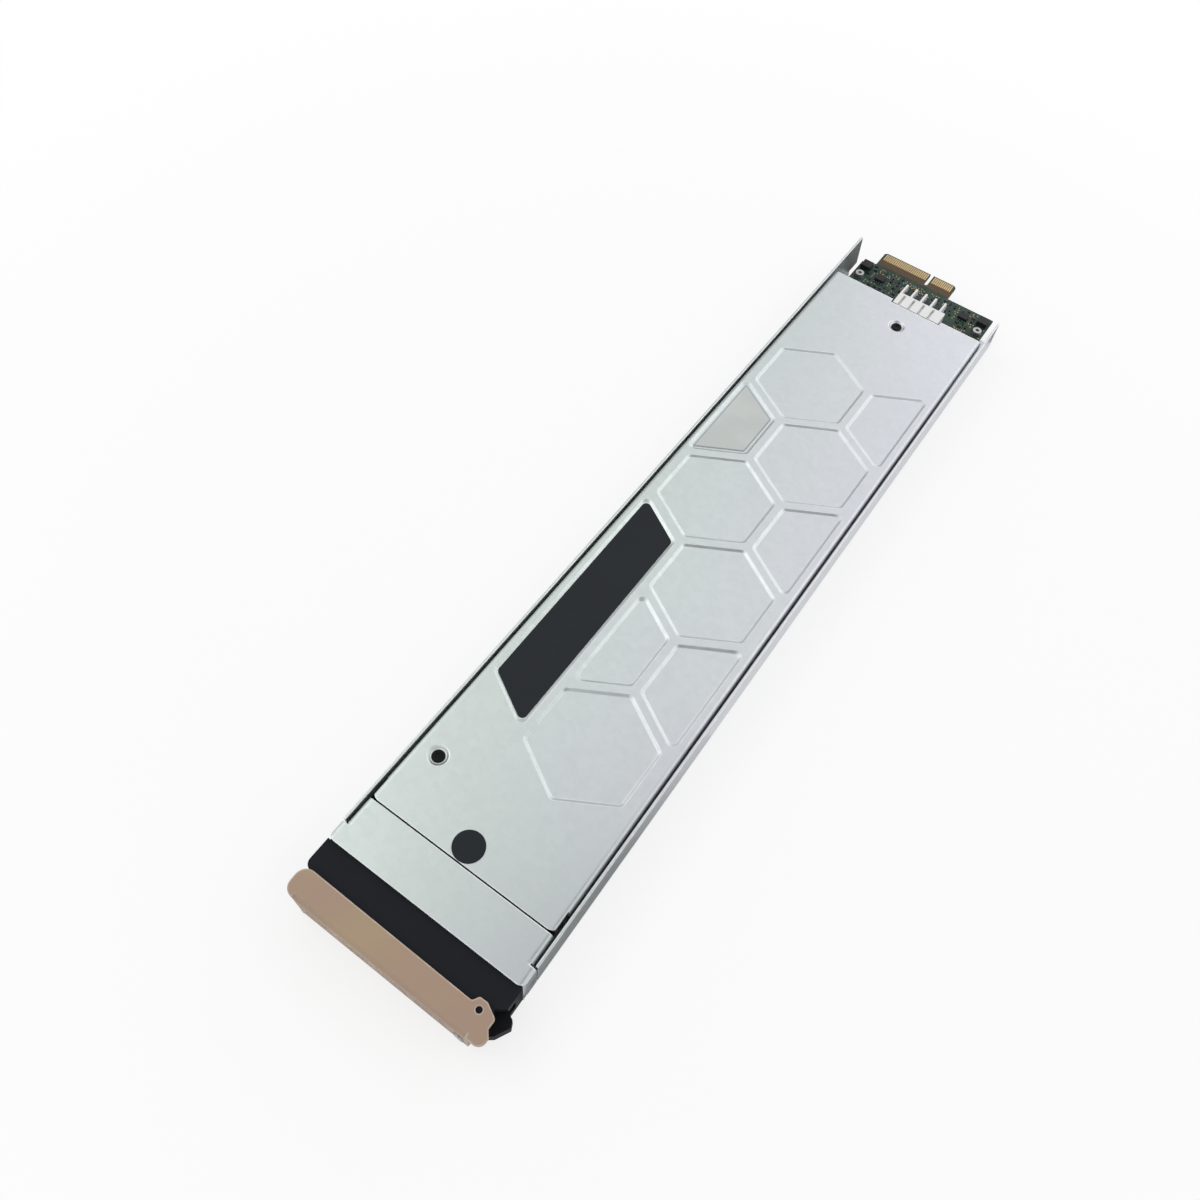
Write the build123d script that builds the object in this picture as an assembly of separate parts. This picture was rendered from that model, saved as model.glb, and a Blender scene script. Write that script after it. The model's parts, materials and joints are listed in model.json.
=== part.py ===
from build123d import *
import os
from math import cos, radians, sqrt, tan

# Flash memory module: a flat sheet-metal case with a pressed cover, a moulded bezel and a cam lever.
# Frame: +X across to the hook side, +Y to the rear (the way the module slides in), +Z up.
# Origin: underside of the tray, on its centre line, below the seam between front frame and cover.
# All sizes are millimetres.

# Case
CASE_HEIGHT = 22.0          # underside of the tray to the top of the cover
SHEET = 1.0                 # steel sheet of tray, cover and front frame
BEND_RADIUS = 1.0           # inside radius of every fold
COVER_WIDTH = 80.0
COVER_LENGTH = 343.0
COVER_CORNER = 3.5          # radius of the cover's front corners
COVER_FLANGE = 5.0          # height of the cover's folded sides
EDGE_GAP = 0.9              # slot between the cover and each side wall
WALL_DROP = 0.3             # side walls stop this far below the cover's top
WALL_FRONT = 11.5           # side walls start this far in front of the seam
LEFT_WALL_REACH = 35.5      # left wall past the cover's rear edge, at its foot
RIGHT_WALL_REACH = 22.0
EAR_SLANT = 4.0             # lean of the walls' rear edges, foot to top
EAR_RISE = 3.2              # height of the walls' lower edge behind the floor
FLOOR_REACH = 27.0          # floor past the cover's rear edge
CORNER_SLOT_START = 1.5     # slots in the cover's sides, just behind the seam
CORNER_SLOT_LENGTH = 7.0
CORNER_SLOT_DEPTH = 0.8

# Front frame, the folded strip between cover and bezel
FRAME_DEPTH = 19.5
FRAME_CORNER = 3.0
FRAME_RELIEF = 0.8          # notch between the strip's wide front and its narrow rear
FRAME_FOOT_GAP = 0.3        # between the strip's sides and the tray's low front walls
SEAM_GAP = 0.6
LIP_REACH = 6.0             # tongue that carries the cover's front edge
LIP_INSET = 4.0             # tongue's ends, in from the cover's edges

# Honeycomb pressed into the cover, its middle row between the black label and the right edge
HEX_SIDE_MARGIN = 6.7       # middle row's panels, in from the cover's right edge
HEX_RIB = 3.2               # flat rib left between two panels
PANEL_DEPTH = 0.6
PANEL_SLOPE = 1.2           # width of each panel's sloping edge
PANEL_CORNER = 2.5
HEX_FIRST_Y = 61.2          # first cell's centre, behind the seam
HEX_REAR_MARGIN = 30.0      # at least this much is left plain at the cover's rear
PANEL_MARGIN = 3.8          # cut panels stop this far from the cover's right edge
TAG_MARGIN = 2.0            # and the small label's panel this far from its left edge

# Labels
LABEL_MARGIN = 4.7          # black label's side, in from the cover's left edge
LABEL_WIDTH = 20.2
LABEL_LENGTH = 100.9
LABEL_RIB = 4.2             # between the label and the honeycomb's middle row
LABEL_END_RIB = 5.5         # between the label's rear end and the panel behind it
LABEL_POCKET_MARGIN = 1.4
LABEL_CORNER = 2.0
LABEL_THICKNESS = 0.25
TAG_INSET = 2.2             # small label, in from its panel's edges
SEAL_RADIUS = 5.9
SEAL_X = -1.0
SEAL_Y = 6.0
SEAL_THICKNESS = 0.2

# Cover screws, in pressed dimples
FRONT_SCREW_INSET = 9.3     # in from the cover's left edge
FRONT_SCREW_Y = 25.2
REAR_SCREW_X = 2.3
REAR_SCREW_INSET = 16.1     # in front of the cover's rear edge
DIMPLE_RADIUS = 4.0
DIMPLE_FLOOR_RADIUS = 3.0
DIMPLE_DEPTH = 0.8
COVER_HEAD_RADIUS = 2.6
COVER_HEAD_HEIGHT = 0.6
SCREW_RADIUS = 1.25
SCREW_GRIP = 6.0
POST_RADIUS = 3.0           # corners of the hexagonal posts

# Bezel
BEZEL_DEPTH = 11.7
BEZEL_SIDE_DROP = 0.3       # bezel's sides, in from the tray's
BEZEL_WALL = 1.8
BEZEL_CORNER = 3.0
BEZEL_CUT_X = 6.0           # bevel of the corner where the hook comes out
BEZEL_CUT_Y = 4.6
SPIGOT_LENGTH = 7.0         # part of the bezel that plugs into the front frame
SPIGOT_FIT = 0.15
VENT_RADIUS = 2.2           # hexagonal air holes
VENT_PITCH = 5.0
VENT_ROWS = 3
VENT_MARGIN = 1.0           # from the holes to the catch spring and the pivot's block

# Lever
LEVER_DEPTH = 10.2
LEVER_SHEET = 1.2
LEVER_GAP = 0.3             # between the lever's plates and the bezel
LEVER_LIFT = 0.4            # lower plate above the tray's underside
LEVER_LEFT_INSET = 0.4      # left end, in from the bezel's side
LEVER_RIGHT_REACH = 0.6     # right end, out past the bezel's side
LEVER_END_RADIUS = 4.2
LEVER_TOE_RADIUS = 3.0
LEVER_TOE_LENGTH = 4.2      # straight stretch of the plates' right end
LEVER_TAPER = 0.7           # rear edge's left end, behind the rest of it
LEVER_WEB_REACH = 1.5       # front web past the pivot
SLOT_LENGTH = 14.0          # air slots in the web
SLOT_HEIGHT = 2.4
SLOT_PITCH = 16.4
SLOT_ROW_PITCH = 4.2
SLOT_ROWS = 3
SLOT_MARGIN = 1.5           # from the slots to the web's left end and the hook
PIVOT_INSET = 7.1           # pivot, in from the bezel's right side
PIVOT_SETBACK = 9.0         # pivot behind the lever's front face
LOBE_BLEND = 1.2
PIN_RADIUS = 1.1
PIN_FIT = 0.05              # radial running clearance
PIN_RECESS = 0.5
LUG_RADIUS = 4.6

# Lobe at the lever's pivot, seen from above and measured from the pivot
LOBE_FRONT = (5.9, -2.7)
LOBE_SIDE = (5.9, 0.8)
LOBE_CROWN = (1.0, 3.3)
LOBE_REAR = (-2.2, 3.3)
LOBE_START = -3.6           # where the lobe leaves the lever's rear edge

# Cam hook, seen from above and measured from the pivot
HOOK_HEIGHT = 8.0
HOOK_HUB = 4.6
HOOK_HEEL = (6.8, 5.7)
HOOK_TIP_REAR = (9.5, 4.6)
HOOK_TIP_FRONT = (10.6, 2.4)
HOOK_THROAT = (7.8, -2.8)
HOOK_FOOT_LEFT = 4.5
HOOK_FOOT_RIGHT = 1.2
HOOK_SWEEP_GAP = 0.8        # air round the hook's swing
RIVET_RADIUS = 0.9
RIVET_HEAD = 1.7
RIVET_HEAD_HEIGHT = 0.5
RIVET_LENGTH = 3.2
RIVET_SPACING = 4.4
RIVET_OFFSET = -1.6

# Catch spring, a leaf on the bezel's face
CATCH_LEAF = 0.4
CATCH_WIDTH = 6.0
CATCH_INSET = 14.1          # middle of the leaf, in from the bezel's left side
CATCH_REACH = 6.0
CATCH_CREST = 4.2           # highest point of the leaf, in front of the bezel
CATCH_FOOT = 8.0

# Light pipes
PIPE_WIDTH = 2.0
PIPE_INSET = 1.2            # outer pipe, in from the board's left edge
PIPE_PITCH = 3.2
PIPE_PROUD = 0.2
LED_LENGTH = 3.0
LED_WIDTH = 2.2
LED_HEIGHT = 2.0

# Circuit board
BOARD_THICKNESS = 1.6
STANDOFF_HEIGHT = 6.8
BOARD_SIDE_GAP = 3.9        # between the board and each side wall
BOARD_FRONT = 9.0           # in front of the seam
BOARD_REACH = 33.3          # past the cover's rear edge
BOARD_STEP_WIDTH = 6.0      # shorter corner beside the left wall
BOARD_STEP_LENGTH = 2.5
TAB_WIDTH = 41.4
TAB_LENGTH = 11.3
TAB_CENTER_X = -9.4
TAB_CHAMFER = 1.2
KEY_WIDTH = 1.8
KEY_LENGTH = 8.2
KEY_INSET = 13.9            # key slot's middle, in from the tab's right end
FINGER_LENGTH = 5.3
FINGER_WIDTH = 0.7
FINGER_PITCH = 1.0
FINGER_INSET = 0.6
FINGER_THICKNESS = 0.05

# Board fixings
STANDOFF_RADIUS = 2.8       # corners of the hexagonal spacers
STANDOFF_SHANK = 2.1        # corners of their feet in the floor
STANDOFF_INSET = 3.6        # in from the board's long edges
STANDOFF_FIRST_Y = 14.0
STANDOFF_REAR_INSET = 13.3  # last pair, in front of the board's rear edge
STANDOFF_ROWS = 4
BOARD_SCREW_GRIP = 3.4
BORE_SPARE = 0.8            # screw bores are this much deeper than their screws
BOARD_HEAD_RADIUS = 2.6
BOARD_HEAD_HEIGHT = 1.7
FRAME_SCREW_HEAD = 2.0
FRAME_SCREW_LENGTH = 4.0
POST_CLEARANCE = 0.5

# Power header
HEADER_WIDTH = 24.5
HEADER_CENTER_X = 5.2
HEADER_BODY = 8.7
HEADER_INSET = 1.7          # reaches this far in front of the cover's rear edge
HEADER_DROP = 0.2
HEADER_NOTCH_GAP = 0.8
HEADER_GROOVE = 1.2
HEADER_GROOVE_DEPTH = 1.6
FIN_LENGTH = 9.5
FIN_THICKNESS = 1.0
FIN_PITCH = 5.25
FIN_COUNT = 5
FIN_NOSE = 1.4              # step of the fins' sloping tops
CONTACT_GAP = 0.4
CONTACT_LENGTH = 8.0
CONTACT_HEIGHT = 8.5

# Chips, pads and heat spreaders
FLASH_SIZE = (12.0, 18.0, 1.2)
FLASH_PITCH = 24.0
FLASH_SIDE_GAP = 9.0        # in from the board's long edges
FLASH_FIRST_Y = 62.0
CONTROLLER_SIZE = (18.0, 18.0, 2.6)
CONTROLLER_PITCH = 80.0
CONTROLLER_FIRST_Y = 90.0
BUFFER_SIZE = (8.0, 12.0, 1.1)
BUFFER_GAP = 1.0            # between the two packages of a pair
PAD_THICKNESS = 1.0
SPREADER_SHEET = 1.5
SPREADER_OVERHANG = 1.0     # past the packages' outer sides
SPREADER_LIP = 6.0
SPREADER_MARGIN = 4.0       # past the first and last rows of packages
CHOKE_SIZE = (8.0, 8.0, 5.0)
CHOKE_PITCH = 11.0
CHOKE_COUNT = 3
CHOKE_SIDE_GAP = 5.0        # in from the board's left edge
CHOKE_INSET = 26.0          # in front of the cover's rear edge
CAPACITOR_SIZE = (7.3, 4.3, 4.0)
CAPACITOR_PITCH = 9.0
CAPACITOR_COUNT = 3
CAPACITOR_SIDE_GAP = 5.0    # in from the board's right edge
CAPACITOR_INSET = 36.0      # in front of the cover's rear edge
CAPACITOR_GAP = 2.0         # from the heat spreaders to the capacitors
CORNER_BLOCK_SIZE = (5.2, 5.0, 2.2)
CORNER_BLOCK_SIDE = 3.8     # middle of each block, in from the board's edges
CORNER_BLOCK_REAR = 5.2

# Levels and edges worked out from the sizes above
TRAY_WIDTH = COVER_WIDTH + 2 * (EDGE_GAP + SHEET)
TRAY_HALF = TRAY_WIDTH / 2
WALL_TOP = CASE_HEIGHT - WALL_DROP
COVER_HALF = COVER_WIDTH / 2
COVER_UNDER = CASE_HEIGHT - SHEET
PANEL_UNDER = COVER_UNDER - PANEL_DEPTH
HEX_ROW_LEFT = -COVER_HALF + LABEL_MARGIN + LABEL_WIDTH + LABEL_RIB
HEX_ROW_RIGHT = COVER_HALF - HEX_SIDE_MARGIN
HEX_ROW_X = (HEX_ROW_LEFT + HEX_ROW_RIGHT) / 2
PANEL_FLAT = (HEX_ROW_RIGHT - HEX_ROW_LEFT) / 2
PANEL_RADIUS = PANEL_FLAT / cos(radians(30))
HEX_LATTICE = PANEL_RADIUS + HEX_RIB / 2 / cos(radians(30))
HEX_COLUMN_PITCH = HEX_LATTICE * 3 / 2
HEX_ROW_PITCH = HEX_LATTICE * sqrt(3) / 2
FLOOR_REAR = COVER_LENGTH + FLOOR_REACH
FRAME_FRONT = -FRAME_DEPTH
BEZEL_FRONT = FRAME_FRONT - BEZEL_DEPTH
BEZEL_HALF = TRAY_HALF - BEZEL_SIDE_DROP
BEZEL_BOTTOM = LEVER_LIFT + LEVER_SHEET + LEVER_GAP
BEZEL_TOP = CASE_HEIGHT - LEVER_SHEET - LEVER_GAP
LEVER_FRONT = BEZEL_FRONT - LEVER_DEPTH
LEVER_REAR = BEZEL_FRONT - LEVER_GAP
LEVER_LEFT = -BEZEL_HALF + LEVER_LEFT_INSET
LEVER_RIGHT = BEZEL_HALF + LEVER_RIGHT_REACH
PIVOT_X = BEZEL_HALF - PIVOT_INSET
PIVOT_Y = LEVER_FRONT + PIVOT_SETBACK
MIDDLE_Z = CASE_HEIGHT / 2
HOOK_BOTTOM = MIDDLE_Z - HOOK_HEIGHT / 2
HOOK_TOP = MIDDLE_Z + HOOK_HEIGHT / 2
HOOK_FOOT_Y = LEVER_FRONT + LEVER_SHEET - PIVOT_Y
HOOK_SWEEP = max(sqrt(x * x + y * y) for x, y in (HOOK_HEEL, HOOK_TIP_REAR, HOOK_TIP_FRONT)) + HOOK_SWEEP_GAP
BOARD_BOTTOM = SHEET + STANDOFF_HEIGHT
BOARD_TOP = BOARD_BOTTOM + BOARD_THICKNESS
BOARD_HALF = TRAY_HALF - SHEET - BOARD_SIDE_GAP
BOARD_REAR = COVER_LENGTH + BOARD_REACH
TAB_LEFT = TAB_CENTER_X - TAB_WIDTH / 2
TAB_RIGHT = TAB_CENTER_X + TAB_WIDTH / 2
TAB_REAR = BOARD_REAR + TAB_LENGTH
KEY_X = TAB_RIGHT - KEY_INSET
HEADER_FRONT = COVER_LENGTH - HEADER_INSET
HEADER_REAR = HEADER_FRONT + HEADER_BODY
HEADER_LEFT = HEADER_CENTER_X - HEADER_WIDTH / 2
HEADER_RIGHT = HEADER_CENTER_X + HEADER_WIDTH / 2
HEADER_TOP = CASE_HEIGHT - HEADER_DROP
FIN_FIRST_X = HEADER_LEFT + FIN_THICKNESS / 2
COVER_SCREWS = [
    (-COVER_HALF + FRONT_SCREW_INSET, FRONT_SCREW_Y),
    (REAR_SCREW_X, COVER_LENGTH - REAR_SCREW_INSET),
]
POST_TOP = COVER_UNDER - DIMPLE_DEPTH
FRAME_SCREW_Y = FRAME_FRONT + FRAME_CORNER + FRAME_SCREW_HEAD
SPREADER_BOTTOM = BOARD_TOP + CONTROLLER_SIZE[2] + PAD_THICKNESS
LOWER_SPREADER_TOP = BOARD_BOTTOM - FLASH_SIZE[2] - PAD_THICKNESS
FLASH_X = BOARD_HALF - FLASH_SIDE_GAP - FLASH_SIZE[0] / 2
CAPACITOR_Y = COVER_LENGTH - CAPACITOR_INSET
SPREADER_HALF = FLASH_X + FLASH_SIZE[0] / 2 + SPREADER_OVERHANG
SPREADER_LIMIT = CAPACITOR_Y - CAPACITOR_SIZE[1] / 2 - CAPACITOR_GAP
FLASH_LAST_Y = SPREADER_LIMIT - SPREADER_MARGIN - FLASH_SIZE[1] / 2
FLASH_ROWS = int((FLASH_LAST_Y - FLASH_FIRST_Y) / FLASH_PITCH) + 1
FLASH_ROW_YS = [FLASH_FIRST_Y + FLASH_PITCH * row for row in range(FLASH_ROWS)]
SPREADER_FRONT = FLASH_ROW_YS[0] - FLASH_SIZE[1] / 2 - SPREADER_MARGIN
SPREADER_REAR = FLASH_ROW_YS[-1] + FLASH_SIZE[1] / 2 + SPREADER_MARGIN
CONTROLLER_LAST_Y = SPREADER_REAR - SPREADER_MARGIN - CONTROLLER_SIZE[1] / 2
CONTROLLER_COUNT = int((CONTROLLER_LAST_Y - CONTROLLER_FIRST_Y) / CONTROLLER_PITCH) + 1
CONTROLLER_YS = [CONTROLLER_FIRST_Y + CONTROLLER_PITCH * place for place in range(CONTROLLER_COUNT)]
CATCH_X = -BEZEL_HALF + CATCH_INSET
PIPE_XS = [-BOARD_HALF + PIPE_INSET + PIPE_PITCH * place for place in range(2)]
PIPE_Z = BOARD_TOP + LED_HEIGHT / 2


# Drawing helpers

def rect(x0, x1, y0, y1):
    """Rectangle between two corners of the drawing plane."""
    return Pos((x0 + x1) / 2, (y0 + y1) / 2) * Rectangle(x1 - x0, y1 - y0)


def up(sketch, z0, z1):
    """Plan outline raised between two levels."""
    return extrude(Pos(0, 0, z0) * sketch, z1 - z0)


def along_x(profile, x0, x1):
    """Side view (y, z) run across the case."""
    return extrude(Plane.YZ.offset(x0) * profile, x1 - x0)


def along_y(profile, y0, y1):
    """Front view (x, z) run along the case."""
    return extrude(Plane.XZ.offset(-y1) * profile, y1 - y0)


def disc(x, y, radius):
    """Circle at a place of the drawing plane."""
    return Pos(x, y) * Circle(radius)


def hexagon(x, y, radius):
    """Hexagon at a place of the drawing plane, measured to its corners."""
    return Pos(x, y) * RegularPolygon(radius, 6)


def gather(pieces):
    """Separate solids as one group."""
    return Compound(children=[solid for piece in pieces for solid in piece.solids()])


def brick(x, y, z, size):
    """Package of a given size standing on level z."""
    return up(rect(x - size[0] / 2, x + size[0] / 2, y - size[1] / 2, y + size[1] / 2), z, z + size[2])


def corners_near(sketch, *places):
    """Corners of an outline that lie nearest to the given places."""
    return [min(sketch.vertices(), key=lambda v: (v.X - x) ** 2 + (v.Y - y) ** 2) for x, y in places]


def folded_channel(width, z0, z1, opens_up):
    """Front view of a sheet folded into a channel."""
    outer = rect(-width / 2, width / 2, z0, z1)
    closed = 0 if opens_up else -1
    outer = fillet(outer.vertices().group_by(Axis.Y)[closed], BEND_RADIUS + SHEET)
    low, high = (z0 + SHEET, z1 + SHEET) if opens_up else (z0 - SHEET, z1 - SHEET)
    inner = rect(-width / 2 + SHEET, width / 2 - SHEET, low, high)
    inner = fillet(inner.vertices().group_by(Axis.Y)[closed], BEND_RADIUS)
    return outer - inner


def standoff_places():
    """Places of the board's fixings."""
    last = BOARD_REAR - STANDOFF_REAR_INSET
    step = (last - STANDOFF_FIRST_Y) / (STANDOFF_ROWS - 1)
    side = BOARD_HALF - STANDOFF_INSET
    return [(x, STANDOFF_FIRST_Y + step * row) for row in range(STANDOFF_ROWS) for x in (-side, side)]


# Case

def tray():
    """Folded floor with two side walls, the left one ending in a long ear."""
    lip = SHEET + BEND_RADIUS

    def side_view(reach):
        foot = COVER_LENGTH + reach
        lean = EAR_SLANT / (WALL_TOP - EAR_RISE)
        return Polygon(
            (FRAME_FRONT, 0), (FLOOR_REAR, 0), (FLOOR_REAR, EAR_RISE), (foot, EAR_RISE),
            (foot - lean * (CASE_HEIGHT - EAR_RISE), CASE_HEIGHT),
            (-WALL_FRONT, CASE_HEIGHT), (-WALL_FRONT, lip), (FRAME_FRONT, lip),
        )

    section = folded_channel(TRAY_WIDTH, 0, WALL_TOP, True)
    folded = along_y(section, FRAME_FRONT, COVER_LENGTH + LEFT_WALL_REACH)
    left = folded & along_x(side_view(LEFT_WALL_REACH), -TRAY_WIDTH, 0)
    right = folded & along_x(side_view(RIGHT_WALL_REACH), 0, TRAY_WIDTH)
    holes = [hexagon(x, y, STANDOFF_SHANK) for x, y in standoff_places() + COVER_SCREWS]
    return left + right - [up(hole, 0, SHEET) for hole in holes]


def cell_centre(column, row):
    """Middle of one honeycomb cell, counted from the first one."""
    return HEX_ROW_X + HEX_ROW_PITCH * row, HEX_FIRST_Y + HEX_COLUMN_PITCH * column


def whole_panel(column, row):
    """Plan outline of a full honeycomb panel, its points along the case."""
    x, y = cell_centre(column, row)
    return Pos(x, y) * RegularPolygon(PANEL_RADIUS, 6, rotation=30)


def cut_panel(column, row, limit):
    """Plan outline of a panel that ends at a line along the case, x = limit."""
    x, y = cell_centre(column, row)
    inner = x - PANEL_FLAT if row > 0 else x + PANEL_FLAT
    short = PANEL_RADIUS / 2
    long = short + abs(limit - inner) * tan(radians(30))
    return Polygon((inner, y - short), (inner, y + short), (limit, y + long), (limit, y - long))


def tag_panel():
    """Plan outline of the panel at the left edge that carries the small label."""
    return cut_panel(4, -2, -COVER_HALF + TAG_MARGIN)


def panel_outlines():
    """Plan outlines of the honeycomb panels that fit between the seam and the cover's plain rear end."""
    last = COVER_LENGTH - HEX_REAR_MARGIN - PANEL_RADIUS
    count = int((last - HEX_FIRST_Y) / HEX_COLUMN_PITCH) + 1
    even, odd = range(0, count, 2), range(1, count, 2)
    panels = [whole_panel(column, 0) for column in even]
    panels += [whole_panel(column, -1) for column in odd[1:]]
    panels += [cut_panel(column, 1, COVER_HALF - PANEL_MARGIN) for column in odd]
    return panels + [cut_panel(odd[0], -1, HEX_ROW_LEFT), tag_panel()]


def label_outline():
    """Black label: a parallelogram whose ends are parallel to the honeycomb panel behind it."""
    near = -COVER_HALF + LABEL_MARGIN
    shift = LABEL_WIDTH * tan(radians(30))
    x, y = cell_centre(3, -1)
    panel_edge = y - PANEL_RADIUS + (x - near) * tan(radians(30))
    rear = panel_edge - LABEL_END_RIB / cos(radians(30))
    front = rear - LABEL_LENGTH
    return Polygon(
        (near, front), (near + LABEL_WIDTH, front - shift), (near + LABEL_WIDTH, rear - shift), (near, rear),
    )


def pressing(outline):
    """Space that a pressed panel leaves in the sheet, with sloping sides and round corners."""
    rim = fillet(outline.vertices(), PANEL_CORNER)
    inner = offset(outline, -PANEL_SLOPE, kind=Kind.INTERSECTION)
    floor = fillet(inner.vertices(), PANEL_CORNER - PANEL_SLOPE / 2)
    return loft([Pos(0, 0, CASE_HEIGHT - PANEL_DEPTH) * floor, Pos(0, 0, CASE_HEIGHT) * rim], ruled=True)


def dimple(x, y):
    """Space of the cone pressed round a cover screw."""
    hanging = (Align.CENTER, Align.CENTER, Align.MAX)
    cone = Cone(DIMPLE_FLOOR_RADIUS, DIMPLE_RADIUS, DIMPLE_DEPTH, align=hanging)
    return Pos(x, y, CASE_HEIGHT) * cone


def top_cover():
    """Cover sheet with folded sides, pressed honeycomb, label pocket and screw dimples."""
    section = folded_channel(COVER_WIDTH, CASE_HEIGHT - COVER_FLANGE, CASE_HEIGHT, False)
    folded = along_y(section, 0, COVER_LENGTH)
    outline = rect(-COVER_HALF, COVER_HALF, 0, COVER_LENGTH)
    outline = fillet(outline.vertices().group_by(Axis.Y)[0], COVER_CORNER)
    slot_end = CORNER_SLOT_START + CORNER_SLOT_LENGTH
    inset = COVER_HALF - CORNER_SLOT_DEPTH
    outline -= rect(inset, COVER_HALF, CORNER_SLOT_START, slot_end)
    outline -= rect(-COVER_HALF, -inset, CORNER_SLOT_START, slot_end)
    outline -= rect(
        HEADER_LEFT - HEADER_NOTCH_GAP, HEADER_RIGHT + HEADER_NOTCH_GAP,
        HEADER_FRONT - HEADER_NOTCH_GAP, COVER_LENGTH,
    )
    sheet = folded & up(outline, 0, CASE_HEIGHT)
    pocket = offset(label_outline(), LABEL_POCKET_MARGIN, kind=Kind.INTERSECTION)
    spaces = [pressing(shape) for shape in panel_outlines() + [pocket]]
    spaces += [dimple(x, y) for x, y in COVER_SCREWS]
    sheet = sheet + [Pos(0, 0, -SHEET) * space for space in spaces]
    holes = [up(disc(x, y, SCREW_RADIUS), 0, CASE_HEIGHT) for x, y in COVER_SCREWS]
    return sheet - spaces - holes


def front_frame():
    """Folded strip: wide in front of the walls, narrow between them, with a lip under the cover."""
    step = -WALL_FRONT - FRAME_RELIEF
    low = SHEET + BEND_RADIUS + FRAME_FOOT_GAP
    wide = along_y(folded_channel(TRAY_WIDTH, low, CASE_HEIGHT, False), FRAME_FRONT, step)
    plan = rect(-TRAY_HALF, TRAY_HALF, FRAME_FRONT, step)
    plan = fillet(plan.vertices().group_by(Axis.Y)[0], FRAME_CORNER)
    wide = wide & up(plan, 0, CASE_HEIGHT)
    flanged = folded_channel(COVER_WIDTH, CASE_HEIGHT - COVER_FLANGE, CASE_HEIGHT, False)
    narrow = along_y(flanged, step, -SEAM_GAP)
    reliefs = rect(COVER_HALF - CORNER_SLOT_DEPTH, COVER_HALF, step, step + FRAME_RELIEF)
    reliefs += rect(-COVER_HALF, CORNER_SLOT_DEPTH - COVER_HALF, step, step + FRAME_RELIEF)
    joggle = Polygon(
        (-SEAM_GAP - SHEET, CASE_HEIGHT), (-SEAM_GAP - SHEET, COVER_UNDER - SHEET),
        (LIP_REACH, COVER_UNDER - SHEET), (LIP_REACH, COVER_UNDER), (-SEAM_GAP, COVER_UNDER),
        (-SEAM_GAP, CASE_HEIGHT),
    )
    lip = along_x(joggle, -COVER_HALF + LIP_INSET, COVER_HALF - LIP_INSET)
    seats = [frame_screw(side) for side in (-1, 1)]
    return wide + (narrow - up(reliefs, 0, CASE_HEIGHT)) + lip - seats


def frame_screw(side):
    """Flush screw through the front frame's side into the bezel's spigot."""
    slope = FRAME_SCREW_HEAD - SCREW_RADIUS
    half_view = Polygon(
        (0, 0), (FRAME_SCREW_LENGTH, 0), (FRAME_SCREW_LENGTH, SCREW_RADIUS),
        (min(slope, SHEET), SCREW_RADIUS), (0, FRAME_SCREW_HEAD),
    )
    screw = revolve(half_view, Axis.X)
    place = Pos(side * TRAY_HALF, FRAME_SCREW_Y, MIDDLE_Z)
    return place * Rot(0, 0, 0 if side < 0 else 180) * screw


def frame_screws():
    """Pair of flush screws that hold frame and bezel together."""
    return gather([frame_screw(side) for side in (-1, 1)])


# Bezel and lever

def bezel():
    """Black front moulding: vented shell, plug for the frame and lugs for the lever's pin."""
    outline = Polygon(
        (-BEZEL_HALF, BEZEL_FRONT), (BEZEL_HALF - BEZEL_CUT_X, BEZEL_FRONT),
        (BEZEL_HALF, BEZEL_FRONT + BEZEL_CUT_Y), (BEZEL_HALF, FRAME_FRONT), (-BEZEL_HALF, FRAME_FRONT),
    )
    outline = fillet(corners_near(outline, (-BEZEL_HALF, BEZEL_FRONT)), BEZEL_CORNER)
    pivot_block = outline & rect(PIVOT_X - HOOK_SWEEP - BEZEL_WALL, BEZEL_HALF, BEZEL_FRONT, FRAME_FRONT)
    hollow = offset(outline, -BEZEL_WALL, kind=Kind.INTERSECTION)
    hollow += rect(
        -BEZEL_HALF + BEZEL_WALL, BEZEL_HALF - BEZEL_WALL, FRAME_FRONT - 2 * BEZEL_WALL, FRAME_FRONT,
    )
    shell = up(outline, BEZEL_BOTTOM, BEZEL_TOP)
    shell -= up(hollow - pivot_block, BEZEL_BOTTOM + BEZEL_WALL, BEZEL_TOP - BEZEL_WALL)
    lug = disc(PIVOT_X, PIVOT_Y, LUG_RADIUS)
    lug += rect(PIVOT_X - LUG_RADIUS, PIVOT_X + LUG_RADIUS, PIVOT_Y, BEZEL_FRONT + BEZEL_WALL) & (
        rect(-BEZEL_HALF, BEZEL_HALF - BEZEL_CUT_X, PIVOT_Y, FRAME_FRONT)
    )
    shell += up(lug, BEZEL_BOTTOM, BEZEL_TOP)
    swing = up(disc(PIVOT_X, PIVOT_Y, HOOK_SWEEP), HOOK_BOTTOM - LEVER_GAP, HOOK_TOP + LEVER_GAP)
    shell = shell + spigot() - swing
    vent_left = CATCH_X + CATCH_WIDTH / 2 + VENT_MARGIN
    vent_right = PIVOT_X - HOOK_SWEEP - BEZEL_WALL - VENT_MARGIN
    columns = int((vent_right - vent_left - VENT_PITCH / 2) / VENT_PITCH)
    vents = [
        Pos((vent_left + vent_right) / 2, MIDDLE_Z) * spot * RegularPolygon(VENT_RADIUS, 6, rotation=30)
        for spot in HexLocations(VENT_PITCH / 2, columns, VENT_ROWS)
    ]
    shell -= [along_y(vent, BEZEL_FRONT, BEZEL_FRONT + BEZEL_WALL) for vent in vents]
    shell -= [along_y(section, BEZEL_FRONT, BEZEL_FRONT + BEZEL_WALL) for section in pipe_sections()]
    return shell - up(disc(PIVOT_X, PIVOT_Y, PIN_RADIUS), 0, CASE_HEIGHT)


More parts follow.
